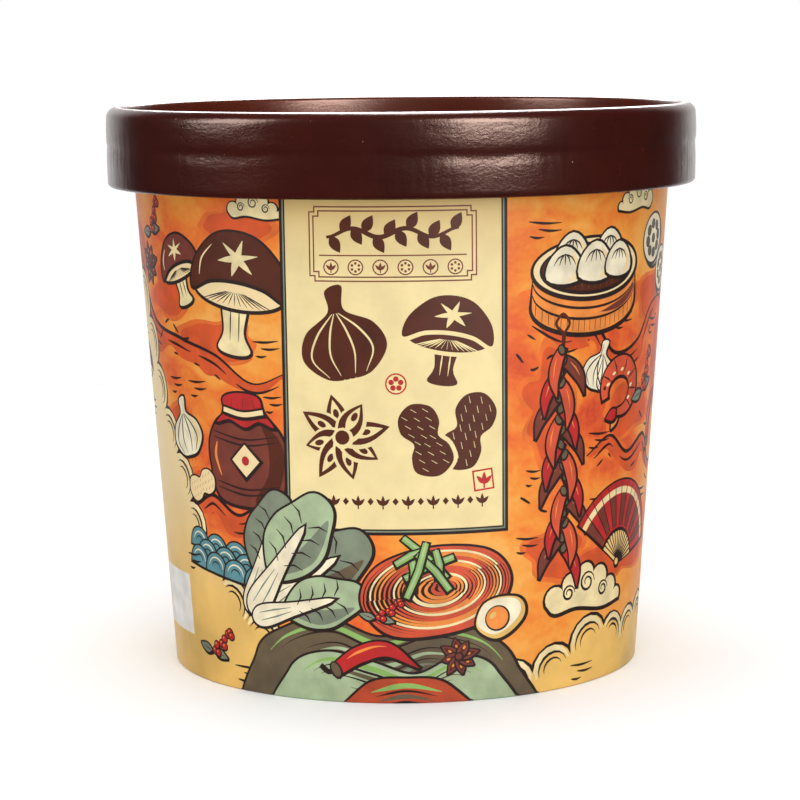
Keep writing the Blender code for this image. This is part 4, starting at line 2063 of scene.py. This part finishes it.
@dataclass
class Studio:
    """The plain white studio: floor, soft lights and the camera of the photograph."""

    distance: float = 0.6895
    aside: float = -0.0009
    eye: float = 0.1568
    pitch: float = 0.1341
    roll: float = -0.0099
    focal_pixels: float = 2765.9
    picture_pixels: int = 800
    sensor: float = 36.0
    floor_radius: float = 0.55
    fill: float = 0.15
    dimmest: float = 0.05
    behind_span: tuple[float, ...] = (0.62, 0.92, 0.0, 1.35)
    sky_span: tuple[float, ...] = (0.42, 0.86, 1.0, 0.06)
    ceiling_radiance: float = 3.0
    ceiling_height: float = 1.3
    ceiling_size: float = 1.6
    softboxes: tuple[Softbox, ...] = (
        Softbox("left_softbox", azimuth=-70, distance=1.0, low=0.25, high=1.0, width=0.50, radiance=11.5),
        Softbox("right_softbox", azimuth=33, distance=1.05, low=0.19, high=1.05, width=0.55, radiance=20.0),
        Softbox("back_softbox", azimuth=178, distance=0.6, low=0.32, high=2.0, width=0.42, radiance=11.0),
        Softbox("key", azimuth=4, distance=1.3, low=0.1, high=1.5, width=1.4, radiance=2.25, gloss=False),
    )

    def camera(self) -> None:
        """Stand the camera where the photograph was taken from."""
        data = bpy.data.cameras.new("camera")
        data.sensor_width = self.sensor
        data.lens = self.focal_pixels / self.picture_pixels * self.sensor
        data.clip_start = 0.01
        camera = bpy.data.objects.new("camera", data)
        bpy.context.scene.collection.objects.link(camera)
        forward = Vector((0, math.cos(self.pitch), -math.sin(self.pitch)))
        level_up = Vector((0, math.sin(self.pitch), math.cos(self.pitch)))
        level_right = Vector((1, 0, 0))
        right = math.cos(self.roll) * level_right + math.sin(self.roll) * level_up
        up = math.cos(self.roll) * level_up - math.sin(self.roll) * level_right
        turn = Matrix((right, up, -forward)).transposed().to_4x4()
        camera.matrix_world = Matrix.Translation((self.aside, -self.distance, self.eye)) @ turn
        bpy.context.scene.camera = camera

    def floor(self) -> None:
        """Lay a round white floor under the cup."""
        deselect()
        bpy.ops.mesh.primitive_circle_add(vertices=128, radius=self.floor_radius, fill_type="NGON",
                                          location=(0, 0, -0.00005))
        floor = bpy.context.object
        floor.name = "floor"
        shader = Shader("Floor", 0.9)
        shader.set("Specular IOR Level", 0.0)
        tones = [(0.3, (0.93, 0.93, 0.93, 1)), (0.7, (0.95, 0.95, 0.95, 1))]
        shader.colour(shader.ramp(shader.noise(scale=3, detail=2), tones))
        floor.data.materials.append(shader.material)
        floor.visible_glossy = False

    def ceiling(self) -> None:
        """Hang a square soft light overhead."""
        lamp = lit("ceiling", self.ceiling_radiance, self.ceiling_size, self.ceiling_size)
        lamp.location = (0, 0.1, self.ceiling_height)
        lamp.visible_glossy = False

    def surroundings(self) -> None:
        """Make the world: white behind the cup, dim on the camera's side, plain white to look at."""
        world = bpy.data.worlds.new("studio")
        bpy.context.scene.world = world
        world.use_nodes = True
        tree = world.node_tree
        tree.nodes.clear()
        place = tree.nodes.new("ShaderNodeTexCoord")
        split = tree.nodes.new("ShaderNodeSeparateXYZ")
        tree.links.new(place.outputs["Generated"], split.inputs[0])
        shares = []
        for axis, span in (("Y", self.behind_span), ("Z", self.sky_span)):
            share = tree.nodes.new("ShaderNodeMapRange")
            share.interpolation_type = "SMOOTHSTEP"
            for socket, given in zip(share.inputs[1:5], span):
                socket.default_value = given
            tree.links.new(split.outputs[axis], share.inputs["Value"])
            shares.append(share.outputs["Result"])
        strength = tree.nodes.new("ShaderNodeMath")
        strength.operation = "MULTIPLY_ADD"
        strength.inputs[2].default_value = self.dimmest
        tree.links.new(shares[0], strength.inputs[0])
        tree.links.new(shares[1], strength.inputs[1])
        studio = tree.nodes.new("ShaderNodeBackground")
        tree.links.new(strength.outputs[0], studio.inputs["Strength"])
        path = tree.nodes.new("ShaderNodeLightPath")
        last = studio.outputs[0]
        for rays, level in (("Is Diffuse Ray", self.fill), ("Is Camera Ray", 1.0)):
            plain = tree.nodes.new("ShaderNodeBackground")
            plain.inputs["Strength"].default_value = level
            plain.inputs["Color"].default_value = (1, 1, 1, 1)
            either = tree.nodes.new("ShaderNodeMixShader")
            tree.links.new(path.outputs[rays], either.inputs["Fac"])
            tree.links.new(last, either.inputs[1])
            tree.links.new(plain.outputs[0], either.inputs[2])
            last = either.outputs[0]
        output = tree.nodes.new("ShaderNodeOutputWorld")
        tree.links.new(last, output.inputs["Surface"])

    def build(self) -> None:
        """Set up the camera, floor, lights and surroundings."""
        self.camera()
        self.floor()
        self.surroundings()
        for softbox in self.softboxes:
            softbox.hang()
        self.ceiling()
        bpy.context.scene.view_settings.view_transform = "Standard"


def build_cup(cone: Cone) -> None:
    """Print, wrap and dress the cup's wall.

    Args:
        cone: The wall's taper.
    """
    sheet = Sheet(cone, bottom=0.2, top=cone.top)
    Artwork(cone, sheet).build()
    wall = CupWall(cone, sheet).build()
    dress(wall, "cup")


def build_lid() -> None:
    """Make and dress the lid's band and disc."""
    low, high = (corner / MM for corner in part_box("lid_band"))
    lid = Lid(top=high.z, radius=high.x, height=high.z - low.z)
    outside = GlossyPaper().material()
    # The inner wall's paper is the lid paper painted lighter: painted light for the light that falls inside
    # the rim.
    inner = GlossyPaper("Lid inner paper painted lighter", base=(94, 34, 19), deep=(84, 30, 17), roughness=0.27).material()
    band, disc = lid.band(), lid.disc()
    lid.paper(band, outside, inner)
    disc.data.materials.append(outside)
    dress(band, "lid_band")
    dress(disc, "lid_disc")


def build_base() -> None:
    """Spin the base disc, with a pressed ring and a softened edge, and dress it in bare board."""
    low, high = (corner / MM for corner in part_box("cup_base"))
    edge = high.x
    outline = [(0, low.z + 0.1), (20, low.z + 0.08)] + pressed(low.z, middle=46, width=1.3, rise=0.28)
    outline += [(edge - 0.25, low.z), (edge, low.z + 0.2), (edge, high.z), (0, high.z)]
    disc = turned("base_board", outline, 240)
    disc.data.materials.append(PlainBoard().material())
    dress(disc, "cup_base")


def main() -> None:
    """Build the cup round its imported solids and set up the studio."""
    logging.basicConfig(level=logging.INFO, format="%(name)s: %(message)s")
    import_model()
    cone = Cone(foot_radius=58.1, slope=8.0 / 118.5, top=125.4)
    build_lid()
    build_cup(cone)
    build_base()
    Studio().build()


if __name__ == "__main__":
    main()
